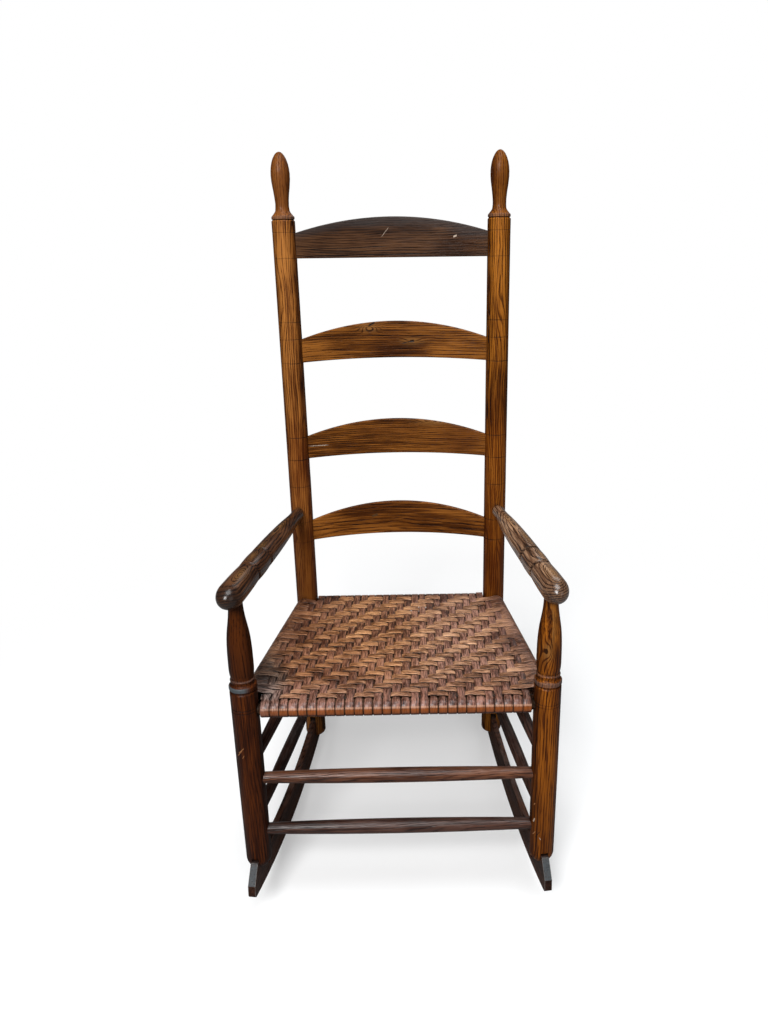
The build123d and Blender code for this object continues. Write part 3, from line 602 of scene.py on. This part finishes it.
for level, height in FRONT_RUNGS.items():
    dress(f"front_stretcher_{level}", wood(
        f"front_stretcher_{level}_wood", grain_frame(front_axis(-1, height), (1, 0, 0)),
        RUNG_RED if level == "upper" else RUNG_DARK, height * 23, line=0.3, dust_and_sheen=0.08,
        coat=0.5, sheen=0.3, floor_shade=0.5))
dress("rear_stretcher", wood(
    "rear_stretcher_wood", grain_frame(rear_axis(-1, REAR_RUNG), (1, 0, 0)), RUNG_RED, 9.4))
for level, axis_at, seed in (("front", front_axis, 3.3), ("rear", rear_axis, 6.6)):
    dress(f"seat_rail_{level}", wood(
        f"seat_rail_{level}_wood", grain_frame(axis_at(-1, SEAT_HEIGHT), (1, 0, 0)),
        HIDDEN_RAIL, seed, rough=0.7))

SLAT_LOOK = {
    "slat_top": {
        "tones": SLAT_DARK, "pith": (0.050, -0.090), "ring": 0.0040, "tilt": 0.006, "line": 0.5,
        "knots": (),
        "detail": (arch_stain(0.0215, 0.0265, 0.020, ARCH_STAIN, 0.75),
                   marked(((0.0217, -0.0126, 0.0004, 0.006, 1.2, PALE, 0.3),
                           (0.0132, 0.1118, 0.0014, 0.003, 0.4, PALE, 0.5),
                           (-0.0165, -0.050, 0.0010, 0.110, 0.01, DIRT_AND_SHADE, 0.3),
                           (-0.0105, -0.060, 0.0008, 0.090, 0.02, DIRT_AND_SHADE, 0.3),
                           (-0.0045, -0.080, 0.0007, 0.070, 0.03, DIRT_AND_SHADE, 0.3)), 1))},
    "slat_upper": {
        "tones": SLAT_BROWN, "pith": (0.045, -0.060), "ring": 0.0040, "tilt": -0.010,
        "line": 0.55,
        "knots": ((0.0390, -0.0468, 0.009, 0.017, -0.016), (0.0122, 0.0323, 0.006, 0.020, 0.006)),
        "detail": (marked(((0.0122, 0.0323, 0.0022, 0.0040, 0.1, DIRT_AND_SHADE, 0.6),
                           (0.0105, 0.0240, 0.0008, 0.0100, 0.2, DIRT_AND_SHADE, 0.3),
                           (0.0440, -0.0420, 0.0018, 0.0060, 0.5, DIRT_AND_SHADE, 0.3)), 1),)},
    "slat_lower": {
        "tones": SLAT_BROWN, "pith": (0.050, -0.070), "ring": 0.0036, "tilt": 0.012, "line": 0.55,
        "knots": ((0.0402, 0.0679, 0.006, 0.030, 0.010),),
        "detail": (marked(((0.0020, -0.1490, 0.0005, 0.0170, -0.03, PALE, 0.7),
                           (0.0005, -0.1490, 0.0004, 0.0170, -0.03, DIRT_AND_SHADE, 0.7)), 1),)},
    "slat_bottom": {
        "tones": SLAT_RED, "pith": (0.140, -0.050), "ring": 0.0034, "tilt": 0.004, "line": 0.40,
        "knots": (),
        "detail": (marked(((0.0195, -0.0476, 0.0020, 0.0060, 0.3, FAINT_SPOT, 0.1),), 1),)},
}
for index, ((name, look), (low, tall)) in enumerate(zip(SLAT_LOOK.items(), SLAT_HEIGHTS)):
    dress(name, wood(
        f"{name}_wood", grain_frame((0, DEPTH, low + tall / 2), (1, 0, 0)),
        seed=1.3 + 2.7 * index, coat=0.1, bow=SLAT_BOW, axis=1, glow=0.4, **look))
for name in ("slat_pins", "rocker_pins"):
    dress(name, wood(f"{name}_wood", grain_frame((0, 0, 0), (0, 1, 0)), BROWN, 3.9, rough=0.6))


# Woven seat

WARP_PITCH = 0.0145
WEFT_RUN = 0.374              # front to back, over all rows
WEFT_ROWS = 25
WEFT_MARGIN = 0.005
WEFT_EVEN = 0.81              # the rows lie closer in front than at the back
WEFT_SPREAD = 0.19
WARPS_PER_SIDE = 14
FULL_WARPS_PER_SIDE = 11
WARP_WIDTH = 0.0124
WARP_ROOM = 0.0055            # from a short warp's middle to the edge that the side rail stops
RAIL_GAP = 0.0015             # from that edge to the side rail's axis
REAR_GAP = 0.023              # least distance from a short warp's end to the rear rail's axis
POST_GAP = 0.002              # from the end of a weft to a post
THICKNESS = 0.0010
STEP = 0.0027                 # spacing of a strip's cross-sections
WRAP_RADIUS = RAIL_RADIUS + 0.00055     # of the warps' middle, round the front and rear rails
TOP = SEAT_HEIGHT + WRAP_RADIUS
BOTTOM = SEAT_HEIGHT - WRAP_RADIUS
SIDE_WRAP_RADIUS = 0.0139     # of the wefts' middle, round the side rails
SIDE_WRAP_LEAN = math.radians(10)       # a weft meets that circle this far inside its top
WEFT_LIFT = 0.0013            # of a weft where it lies on top, and fall where it lies below
WARP_DROP = 0.00085
DOME = 0.0030
UNDER_DOME = 0.4              # share of the dome that the underside keeps
RAIL_LIFT = 0.0068            # rise of the weave towards the higher side rails
TUCK = 0.004                  # how far a short warp runs on under its last weft
STRAY = 0.0005                # of a whole band, to the side
SWAY = 0.0007                 # of a band along its length
FLOAT_SWAY = 0.0008           # of a weft within each float


def side_rail_x(y):
    return FRONT_HALF - y * RAIL_SLOPE


def row_y(row):
    t = (row + 0.5) / WEFT_ROWS
    return WEFT_MARGIN + WEFT_RUN * (WEFT_EVEN * t + WEFT_SPREAD * t * t)


def row_at(y):
    """The inverse of row_y, with a fraction between rows."""
    s = WEFT_EVEN ** 2 + 4 * WEFT_SPREAD * max(y - WEFT_MARGIN, 0) / WEFT_RUN
    return (math.sqrt(s) - WEFT_EVEN) / (2 * WEFT_SPREAD) * WEFT_ROWS - 0.5


def warp_end(index):
    edge = abs(index) * WARP_PITCH + WARP_ROOM
    reach = FRONT_HALF - RAIL_GAP - edge
    return min(reach / RAIL_SLOPE, DEPTH - REAR_GAP)


def twill(row, index):
    return (index - row) % 4 in (0, 1)


def tucked_row(index):
    """Last row that a warp reaches: an outer warp ends under the weft of this row."""
    if abs(index) <= FULL_WARPS_PER_SIDE:
        return WEFT_ROWS
    row = math.floor(row_at(warp_end(index)))
    while row > 0 and not twill(row, index):
        row -= 1
    return row


TUCKED = {index: tucked_row(index) for index in range(-WARPS_PER_SIDE, WARPS_PER_SIDE + 1)}


def over(row, index):
    """1 where the weft of this row lies over this warp, -1 where it goes under."""
    if abs(index) > WARPS_PER_SIDE or row > TUCKED[index]:
        return 1
    return 1 if twill(row, index) else -1


def eased(a, b, t, width=0.85):
    t = min(max((t - 0.5) / width + 0.5, 0), 1)
    return a + (b - a) * t * t * (3 - 2 * t)


def weft_wave(row, x):
    q = x / WARP_PITCH
    index = math.floor(q)
    return eased(over(row, index), over(row, index + 1), q - index)


def warp_wave(index, y):
    q = row_at(y)
    row = math.floor(q)
    first = over(max(row, 0), index) if row >= 0 else 0
    second = over(row + 1, index) if row + 1 < WEFT_ROWS else 0
    return eased(first, second, q - row)


def float_swing(row, x):
    """1 at the left end of a float, -1 at its right end, and back while it is under."""
    return math.cos(math.pi / 2 * (x / WARP_PITCH - row + 0.5))


def dome(x, y):
    u = min(abs(x) / side_rail_x(y), 1)
    v = (y - DEPTH / 2) / (DEPTH / 2)
    return DOME * max(1 - v * v, 0) * (1 - u**2)


def lift(x, y):
    u = min(abs(x) / side_rail_x(y), 1)
    ends = 1 - math.exp(-max(y, 0) / 0.02)
    return RAIL_LIFT * u**7 * ends


SECTION = ((-0.5, -0.1), (-0.485, 0.32), (-0.41, 0.58), (0.0, 0.72), (0.41, 0.58), (0.485, 0.32),
           (0.5, -0.1), (0.46, -0.45), (0.0, -0.35), (-0.46, -0.45))
EDGE_WAVE = 0.00055           # how far a band's edges waver, fray and cup
EDGE_FRAY = 0.00022
CUP = 0.00018
# how dark the painted shade along a band's edges is, with some dirt
EDGE_SHADE_AND_DIRT = 0.66


class Strips:
    """Mesh of flat bands; each carries its own coordinates and its painted shade, with some dirt.
    """

    def __init__(self):
        self.points = []
        self.faces = []
        self.band = []
        self.shade_and_dirt = []

    def add(self, path, width, seed, closed):
        """path: (point, across, outward, depth, share of the width), depth 1 where covered."""
        first = len(self.points)
        run = 0.0
        size = len(SECTION)
        for k, (point, across, outward, depth, share) in enumerate(path):
            if k:
                run += (point - path[k - 1][0]).length
            fade = min(1, (len(path) - k) * STEP / 0.03) if closed else 1
            for a, h in SECTION:
                edge = 0.0
                if abs(a) > 0.4:
                    n = noise.noise(Vector((run * 38 * fade, seed * 7.1, math.copysign(3, a))))
                    f = noise.noise(Vector((run * 260 * fade, seed * 3.3, math.copysign(9, a))))
                    edge = math.copysign(EDGE_WAVE * n + EDGE_FRAY * f, a)
                cup = CUP * noise.noise(Vector((run * 25 * fade, a * 2, seed)))
                self.points.append(point + across * (a * width * share + edge)
                                   + outward * (h * THICKNESS + cup))
                self.band.append((a * width, run, seed))
                # painted shade, with some dirt, where the band is covered and along its edges
                self.shade_and_dirt.append(max(depth, EDGE_SHADE_AND_DIRT * (abs(a) > 0.45)))
        count = len(path)
        for k in range(count if closed else count - 1):
            here, there = first + k * size, first + (k + 1) % count * size
            for j in range(size):
                i = (j + 1) % size
                self.faces.append((here + j, here + i, there + i, there + j))
        if not closed:
            self.faces.append(tuple(first + j for j in reversed(range(size))))
            end = first + (count - 1) * size
            self.faces.append(tuple(end + j for j in range(size)))

    def build(self, name, material, node, slot):
        mesh = bpy.data.meshes.new(name)
        mesh.from_pydata([tuple(p) for p in self.points], [], self.faces)
        mesh.validate()
        band = mesh.attributes.new("band", "FLOAT_VECTOR", "POINT")
        band.data.foreach_set("vector", [c for b in self.band for c in b])
        shade_and_dirt = mesh.attributes.new("shade_and_dirt", "FLOAT", "POINT")
        shade_and_dirt.data.foreach_set("value", self.shade_and_dirt)
        mesh.polygons.foreach_set("use_smooth", [True] * len(mesh.polygons))
        mesh.materials.append(material)
        made = bpy.data.objects.new(name, mesh)
        bpy.context.scene.collection.objects.link(made)
        made.matrix_world = REST
        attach(made, "root")
        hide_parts(node)


def with_frames(points, across_at, depths, shares):
    """Path entries: outward is square to the run and to the width of the band."""
    path = []
    last = len(points) - 1
    for k, point in enumerate(points):
        before, after = points[max(k - 1, 0)], points[min(k + 1, last)]
        along = (after - before).normalized()
        across = across_at(k)
        outward = along.cross(across).normalized()
        path.append((point, across, outward, depths[k], shares[k]))
    return path


def steps(a, b, step=STEP):
    count = max(2, math.ceil(abs(b - a) / step))
    return [a + (b - a) * k / count for k in range(count)]


def arc(centre, radius, start, end, step=STEP):
    """Angles from the top, towards the outside, with their points in a plane."""
    return [(centre[0] + radius * math.sin(t), centre[1] + radius * math.cos(t))
            for t in steps(start, end, step / radius)]


def warp_strips():
    strips = Strips()
    for index in range(-WARPS_PER_SIDE, WARPS_PER_SIDE + 1):
        full = abs(index) <= FULL_WARPS_PER_SIDE
        end = DEPTH if full else row_y(TUCKED[index]) + TUCK
        middle = index * WARP_PITCH + STRAY * noise.noise(Vector((index * 3.7, 0.5, 0)))
        points, depths, shares = [], [], []

        def place(y, z, depth, share=1.0):
            sway = SWAY * noise.noise(Vector((y * 14, index * 2.9, 4.0)))
            points.append(Vector((middle + sway, y, z)))
            depths.append(depth)
            shares.append(share)

        for y in steps(end, 0.0):
            wave = warp_wave(index, y)
            # pinched just in front of the first weft, then spread over the rail
            pinch = 0.16 * math.exp(-((y - 0.0045) / 0.005) ** 2)
            place(y, TOP + dome(middle, y) + lift(middle, y) - WARP_DROP * wave,
                  max(0, wave), 1 - pinch)
        for a, z in arc((0.0, SEAT_HEIGHT), WRAP_RADIUS, 0, math.pi):
            bulge = 0.0006 * noise.noise(Vector((index * 5.1, a * 60, z * 60)))
            place(-a - bulge, z, 0.0, 1 + 0.06 * min(1, a / 0.006))
        for y in steps(0.0, end):
            wave = warp_wave(index, y)
            sag = dome(middle, y) * UNDER_DOME
            place(y, BOTTOM - sag + lift(middle, y) * 0.9 + WARP_DROP * wave, max(0, wave))
        if full:
            for a, z in arc((0.0, SEAT_HEIGHT), WRAP_RADIUS, math.pi, 2 * math.pi):
                place(DEPTH - a, z, 0.0)
        width = WARP_WIDTH * (1 + 0.09 * noise.noise(Vector((index * 1.9, 7.5, 0))))
        strips.add(with_frames(points, lambda k: Vector((-1, 0, 0)), depths, shares), width,
                   20 + index * 1.37, full)
    return strips


def weft_strips():
    strips = Strips()
    between_front_posts = FRONT_HALF - POST_RADIUS - POST_GAP
    between_rear_posts = REAR_HALF - REAR_POST_RADIUS - POST_GAP
    low_turn, high_turn = -SIDE_WRAP_LEAN, math.pi + SIDE_WRAP_LEAN
    rise_to_rail = SIDE_WRAP_RADIUS * math.cos(SIDE_WRAP_LEAN)
    edge = SIDE_SEAT_HEIGHT + rise_to_rail
    low_edge = SIDE_SEAT_HEIGHT - rise_to_rail
    for row in range(WEFT_ROWS):
        line = row_y(row) + STRAY * noise.noise(Vector((row * 2.3, 1.5, 0)))
        width = 0.98 * (row_y(row + 0.5) - row_y(row - 0.5))
        width *= 1 + 0.07 * noise.noise(Vector((row * 1.7, 2.5, 0)))
        points, depths, slants, shares = [], [], [], []
        rail = side_rail_x(line)
        short = row in (0, WEFT_ROWS - 1)
        if short:
            reach = between_front_posts if row == 0 else between_rear_posts
        else:
            reach = rail - SIDE_WRAP_RADIUS * math.sin(SIDE_WRAP_LEAN)

        def place(x, y, z, depth, slant, share=1.0):
            points.append(Vector((x, y, z)))
            depths.append(depth)
            slants.append(slant)
            shares.append(share)

        for x in steps(-reach, reach):
            wave = weft_wave(row, x)
            u = abs(x) / reach
            inner = 1 - u**20
            rise = 0 if short else (edge - TOP - dome(x, line)) * u**7
            swing = float_swing(row, x)
            sway = FLOAT_SWAY * swing + SWAY * noise.noise(Vector((x * 22, row * 3.1, 8.0)))
            depth = max(0, -wave) + 0.2 * max(0, 0.75 - wave) * (wave > 0)
            place(x, line + sway * inner, TOP + dome(x, line) + rise + WEFT_LIFT * wave * inner,
                  min(1, depth), 0 if short else x / rail, 1 - 0.13 * swing**2 * inner)
        if not short:
            for x, z in arc((rail, SIDE_SEAT_HEIGHT), SIDE_WRAP_RADIUS, low_turn, high_turn):
                place(x, line, z, 0.0, 1)
            for x in steps(reach, -reach):
                wave = weft_wave(row, x)
                u = abs(x) / reach
                sag = UNDER_DOME * dome(x, line)
                rise = (low_edge - BOTTOM + sag) * u**7
                place(x, line, BOTTOM - sag + rise - WEFT_LIFT * wave * (1 - u**20),
                      max(0, -wave), x / rail)
            for x, z in arc((rail, SIDE_SEAT_HEIGHT), SIDE_WRAP_RADIUS, low_turn, high_turn):
                place(-x, line, 2 * SIDE_SEAT_HEIGHT - z, 0.0, -1)

        def across_at(k):
            turn = math.copysign(abs(slants[k]) ** 5, slants[k])
            return Vector((-RAIL_SLOPE * turn, 1, 0)).normalized()

        strips.add(with_frames(points, across_at, depths, shares), width, 60 + row * 1.71,
                   not short)
    return strips


WEFT_TONES = ((0.0340, 0.0116, 0.0041), (0.2430, 0.1020, 0.0440), (0.6800, 0.3900, 0.2300))
WARP_TONES = ((0.0220, 0.0070, 0.0041), (0.1420, 0.0570, 0.0350), (0.4200, 0.2200, 0.1550))
RUBBED_TONES = ((0.018, 0.013, 0.011), (0.115, 0.088, 0.078), (0.400, 0.345, 0.310))
GLINT = (0.58, 0.37, 0.26)
ROLL_ORANGE = (0.330, 0.085, 0.005)
# a painted highlight on the roll's shoulder
ROLL_HIGHLIGHT = (0.70, 0.40, 0.25)
# These multiply the colour under them
ROLL_SHADE = (0.62, 0.52, 0.58)
# painted shade under the roll
ROLL_UNDER_SHADE = (0.22, 0.13, 0.10)
GOLDEN = (1.0, 0.90, 0.70)
SEAT_SHADE = (0.48, 0.37, 0.35)


def splint(name, tones, seed, gloss):
    """Split-wood band: long fibres, a tone of its own, and painted shade with some dirt along
    its edges, where it is covered and in the gaps.
    """
    material, s = blank_material(name)
    place = s.node("ShaderNodeAttribute", attribute_name="band").outputs["Vector"]
    shade_and_dirt = s.node("ShaderNodeAttribute", attribute_name="shade_and_dirt").outputs["Fac"]
    streaks = s.noise(place, (620, 38, 3.1), 3.0, 0.65)
    fine = s.noise(place, (2200, 110, 7.7), 2.0, 0.6)
    glints = s.ranged(s.noise(place, (1100, 190, 5.3), 2.0, 0.55), 0.60, 0.74)
    patch = s.noise(place, (70, 40, 1.9), 3.0, 0.6)
    spread = s.node("ShaderNodeTexCoord").outputs["Object"]
    x, y, z = s.split(spread)
    wide = s.noise(spread, (10, 10, 10), 3.0, 0.55)
    own = s.chance(s.math("MULTIPLY_ADD", s.split(place)[2], 13.0, seed))
    tone = 0.50
    for wave, amount in ((streaks, 2.5), (fine, 2.6), (patch, 1.2), (wide, 0.9), (own, 0.30)):
        tone = s.math("MULTIPLY_ADD", s.centred(wave), amount, tone)
    colour = s.ramp(tone, ((0.05, tones[0]), (0.5, tones[1]), (0.95, tones[2])))
    colour = s.mix(s.times(glints, 0.5), colour, GLINT)

    # the front roll: a painted highlight on its shoulder, orange below it, painted shade
    # underneath
    front = s.ranged(y, -0.003, -0.008)
    colour = s.mix(s.times(front, 0.45), colour, ROLL_SHADE, "MULTIPLY")
    under = s.times(s.ranged(z, SEAT_HEIGHT + 0.0050, SEAT_HEIGHT + 0.0015), front)
    under = s.times(under, s.ranged(streaks, 0.3, 0.7, 0.55, 0.95))
    colour = s.mix(under, colour, ROLL_ORANGE)
    below = s.times(s.ranged(z, SEAT_HEIGHT - 0.0035, SEAT_HEIGHT - 0.0075), front)
    colour = s.mix(below, colour, ROLL_UNDER_SHADE, "MULTIPLY")
    crest_highlight = s.times(s.near(z, SEAT_HEIGHT + 0.0052, 0.0004, 0.0020), front)
    crest_highlight = s.times(crest_highlight, s.ranged(fine, 0.35, 0.6, 0.25, 0.75))
    colour = s.mix(crest_highlight, colour, ROLL_HIGHLIGHT)

    # grey and rubbed along the side rails, most at the left front corner, golden in the middle
    rail = s.math("MULTIPLY_ADD", y, -RAIL_SLOPE, FRONT_HALF)
    inward = s.math("SUBTRACT", rail, s.math("ABSOLUTE", x))
    inward = s.math("MULTIPLY_ADD", s.centred(wide), 0.06, inward)
    corner = s.times(s.ranged(y, 0.16, 0.0), s.ranged(x, -0.04, -0.16, 0.004, 0.040))
    rubbed_side = s.ranged(s.math("SUBTRACT", inward, corner), -0.006, 0.034, 1.0, 0.0)
    grey = s.ramp(tone, tuple(zip((0.20, 0.5, 0.85), RUBBED_TONES)))
    left_front = s.times(s.ranged(x, 0.10, -0.12), s.ranged(y, 0.26, 0.08))
    amount = s.times(rubbed_side, s.ranged(left_front, 0, 1, 0.30, 0.85))
    amount = s.times(amount, s.ranged(y, -0.004, 0.008, 0.3, 1.0))
    colour = s.mix(amount, colour, grey)
    golden = s.times(s.ranged(x, 0.09, -0.02), s.ranged(y, 0.02, 0.08))
    colour = s.mix(golden, colour, GOLDEN, "MULTIPLY")

    # darker towards the sides, in front and at the very back
    reach = s.ranged(x, 0.02, -0.02, 0.050, 0.110)
    edge = s.math("SUBTRACT", 1.0, s.math("DIVIDE", inward, reach), clamp=True)
    shaded = s.math("MAXIMUM", s.times(edge, 0.95), s.ranged(y, 0.11, 0.00, 0.0, 0.55))
    shaded = s.math("MAXIMUM", shaded, s.times(left_front, 0.55))
    shaded = s.math("MAXIMUM", shaded, s.ranged(y, 0.33, 0.38, 0.0, 0.4))
    colour = s.mix(shaded, colour, SEAT_SHADE, "MULTIPLY")

    # painted shade, with some dirt, where a band is covered, along its edges and in the gaps
    colour = s.mix(s.times(s.ranged(shade_and_dirt, 0.45, 1.0), 0.85), colour, DIRT_AND_SHADE)
    colour = s.mix(s.times(s.crevice(0.005), 0.9), colour, DIRT_AND_SHADE)
    s.show(s.fed("ShaderNodeBsdfPrincipled", {
        "Base Color": colour, "Roughness": s.ranged(patch, 0.3, 0.7, gloss, gloss + 0.18),
        "Normal": s.bump(s.math("MULTIPLY_ADD", fine, 0.5, streaks), 0.0006),
        "Specular IOR Level": 0.10, "Coat Weight": 0.45, "Coat Roughness": 0.33}).outputs[0])
    return material


warp_strips().build("seat_warps", splint("warp_splint_wood", WARP_TONES, 2.0, 0.34),
                    "seat_warp_splints", "warp_splint")
weft_strips().build("seat_wefts", splint("weft_splint_wood", WEFT_TONES, 5.0, 0.38),
                    "seat_weft_splints", "weft_splint")


# Floor, light and camera


def plain_floor():
    """Pale floor that keeps the shadow near the chair and turns plain white far off."""
    mesh = bpy.data.meshes.new("floor")
    half = 30.0
    mesh.from_pydata([(-half, -half, 0), (half, -half, 0), (half, half, 0), (-half, half, 0)],
                     [], [(0, 1, 2, 3)])
    floor = bpy.data.objects.new("floor", mesh)
    bpy.context.scene.collection.objects.link(floor)
    floor.location.z = -0.0005    # just clear of the rockers
    material, s = blank_material("floor_white")
    away = s.vector("LENGTH", s.node("ShaderNodeTexCoord").outputs["Object"])
    ray = s.node("ShaderNodeLightPath").outputs["Is Camera Ray"]
    pale = s.mix(ray, (0.28, 0.28, 0.28), (0.92, 0.92, 0.92))
    plain = s.fed("ShaderNodeBsdfDiffuse", {"Color": pale}).outputs[0]
    white = s.fed("ShaderNodeEmission", {"Color": (1, 1, 1, 1)}).outputs[0]
    whiter = s.times(s.ranged(away, 0.35, 1.2, 0.35, 1.0), ray)
    s.show(s.fed("ShaderNodeMixShader", {0: whiter, 1: plain, 2: white}).outputs[0])
    mesh.materials.append(material)


def studio_world():
    """White to the camera, and a faint even light for the rest."""
    world = bpy.data.worlds.new("studio")
    bpy.context.scene.world = world
    world.use_nodes = True
    s = Shader(world.node_tree)
    path = s.node("ShaderNodeLightPath").outputs
    power = s.ranged(path["Is Glossy Ray"], 0, 1, 0.15, 0.05, smooth=False)
    soft = s.fed("ShaderNodeBackground", {"Color": (0.93, 0.96, 1.0, 1), "Strength": power})
    white = s.fed("ShaderNodeBackground", {"Color": (1, 1, 1, 1)})
    s.show(s.fed("ShaderNodeMixShader", {0: path["Is Camera Ray"], 1: soft.outputs[0],
                                         2: white.outputs[0]}).outputs[0], "World")


def area_light(name, place, target, size, power, colour=(1, 1, 1)):
    data = bpy.data.lights.new(name, "AREA")
    data.shape = "SQUARE"
    data.size = size
    data.energy = power
    data.color = colour
    lamp = bpy.data.objects.new(name, data)
    bpy.context.scene.collection.objects.link(lamp)
    lamp.location = place
    lamp.rotation_mode = "QUATERNION"
    lamp.rotation_quaternion = (Vector(target) - Vector(place)).to_track_quat("-Z", "Y")


plain_floor()
studio_world()
area_light("key", (-0.8, -2.4, 2.8), (0, 0, 0.5), size=1.2, power=124)
area_light("top", (0.2, -0.3, 3.2), (0, 0, 0.3), size=1.6, power=60, colour=(0.95, 0.98, 1.0))
area_light("fill", (2.0, -2.0, 1.6), (0, 0, 0.6), size=1.6, power=9, colour=(1.0, 0.97, 0.93))
area_light("rear", (0.9, 2.6, 2.4), (0, 0, 0.6), size=1.6, power=16)

# The viewpoint, in the chair's upright frame: pitch down, slight turn and roll
PITCH = 0.3134
YAW = 0.0107
ROLL = 0.0127
PLACE = (0.0387, -1.0501, 1.0063)
SENSOR = 36                   # mm, along the picture's long side
LONG_SIDE = 1024              # pixels
FOCAL = 771.88                # pixels
MIDDLE = (384, 512)           # of the picture, in pixels
LENS_AXIS = (426.0, 508.7)    # where it meets the picture
forward = Vector((math.sin(YAW) * math.cos(PITCH), math.cos(YAW) * math.cos(PITCH),
                  -math.sin(PITCH)))
level_right = Vector((math.cos(YAW), -math.sin(YAW), 0))
down = forward.cross(level_right)
right = level_right * math.cos(ROLL) + down * math.sin(ROLL)
down = down * math.cos(ROLL) - level_right * math.sin(ROLL)
camera_data = bpy.data.cameras.new("camera")
camera_data.sensor_width = SENSOR
camera_data.lens = FOCAL / LONG_SIDE * SENSOR
camera_data.shift_x = (MIDDLE[0] - LENS_AXIS[0]) / LONG_SIDE
camera_data.shift_y = (LENS_AXIS[1] - MIDDLE[1]) / LONG_SIDE
camera_data.clip_start = 0.05
camera = bpy.data.objects.new("camera", camera_data)
bpy.context.scene.collection.objects.link(camera)
axes = Matrix((right, -down, -forward)).transposed().to_4x4()
camera.matrix_world = REST @ Matrix.Translation(PLACE) @ axes
bpy.context.scene.camera = camera
bpy.context.scene.view_settings.view_transform = "Standard"
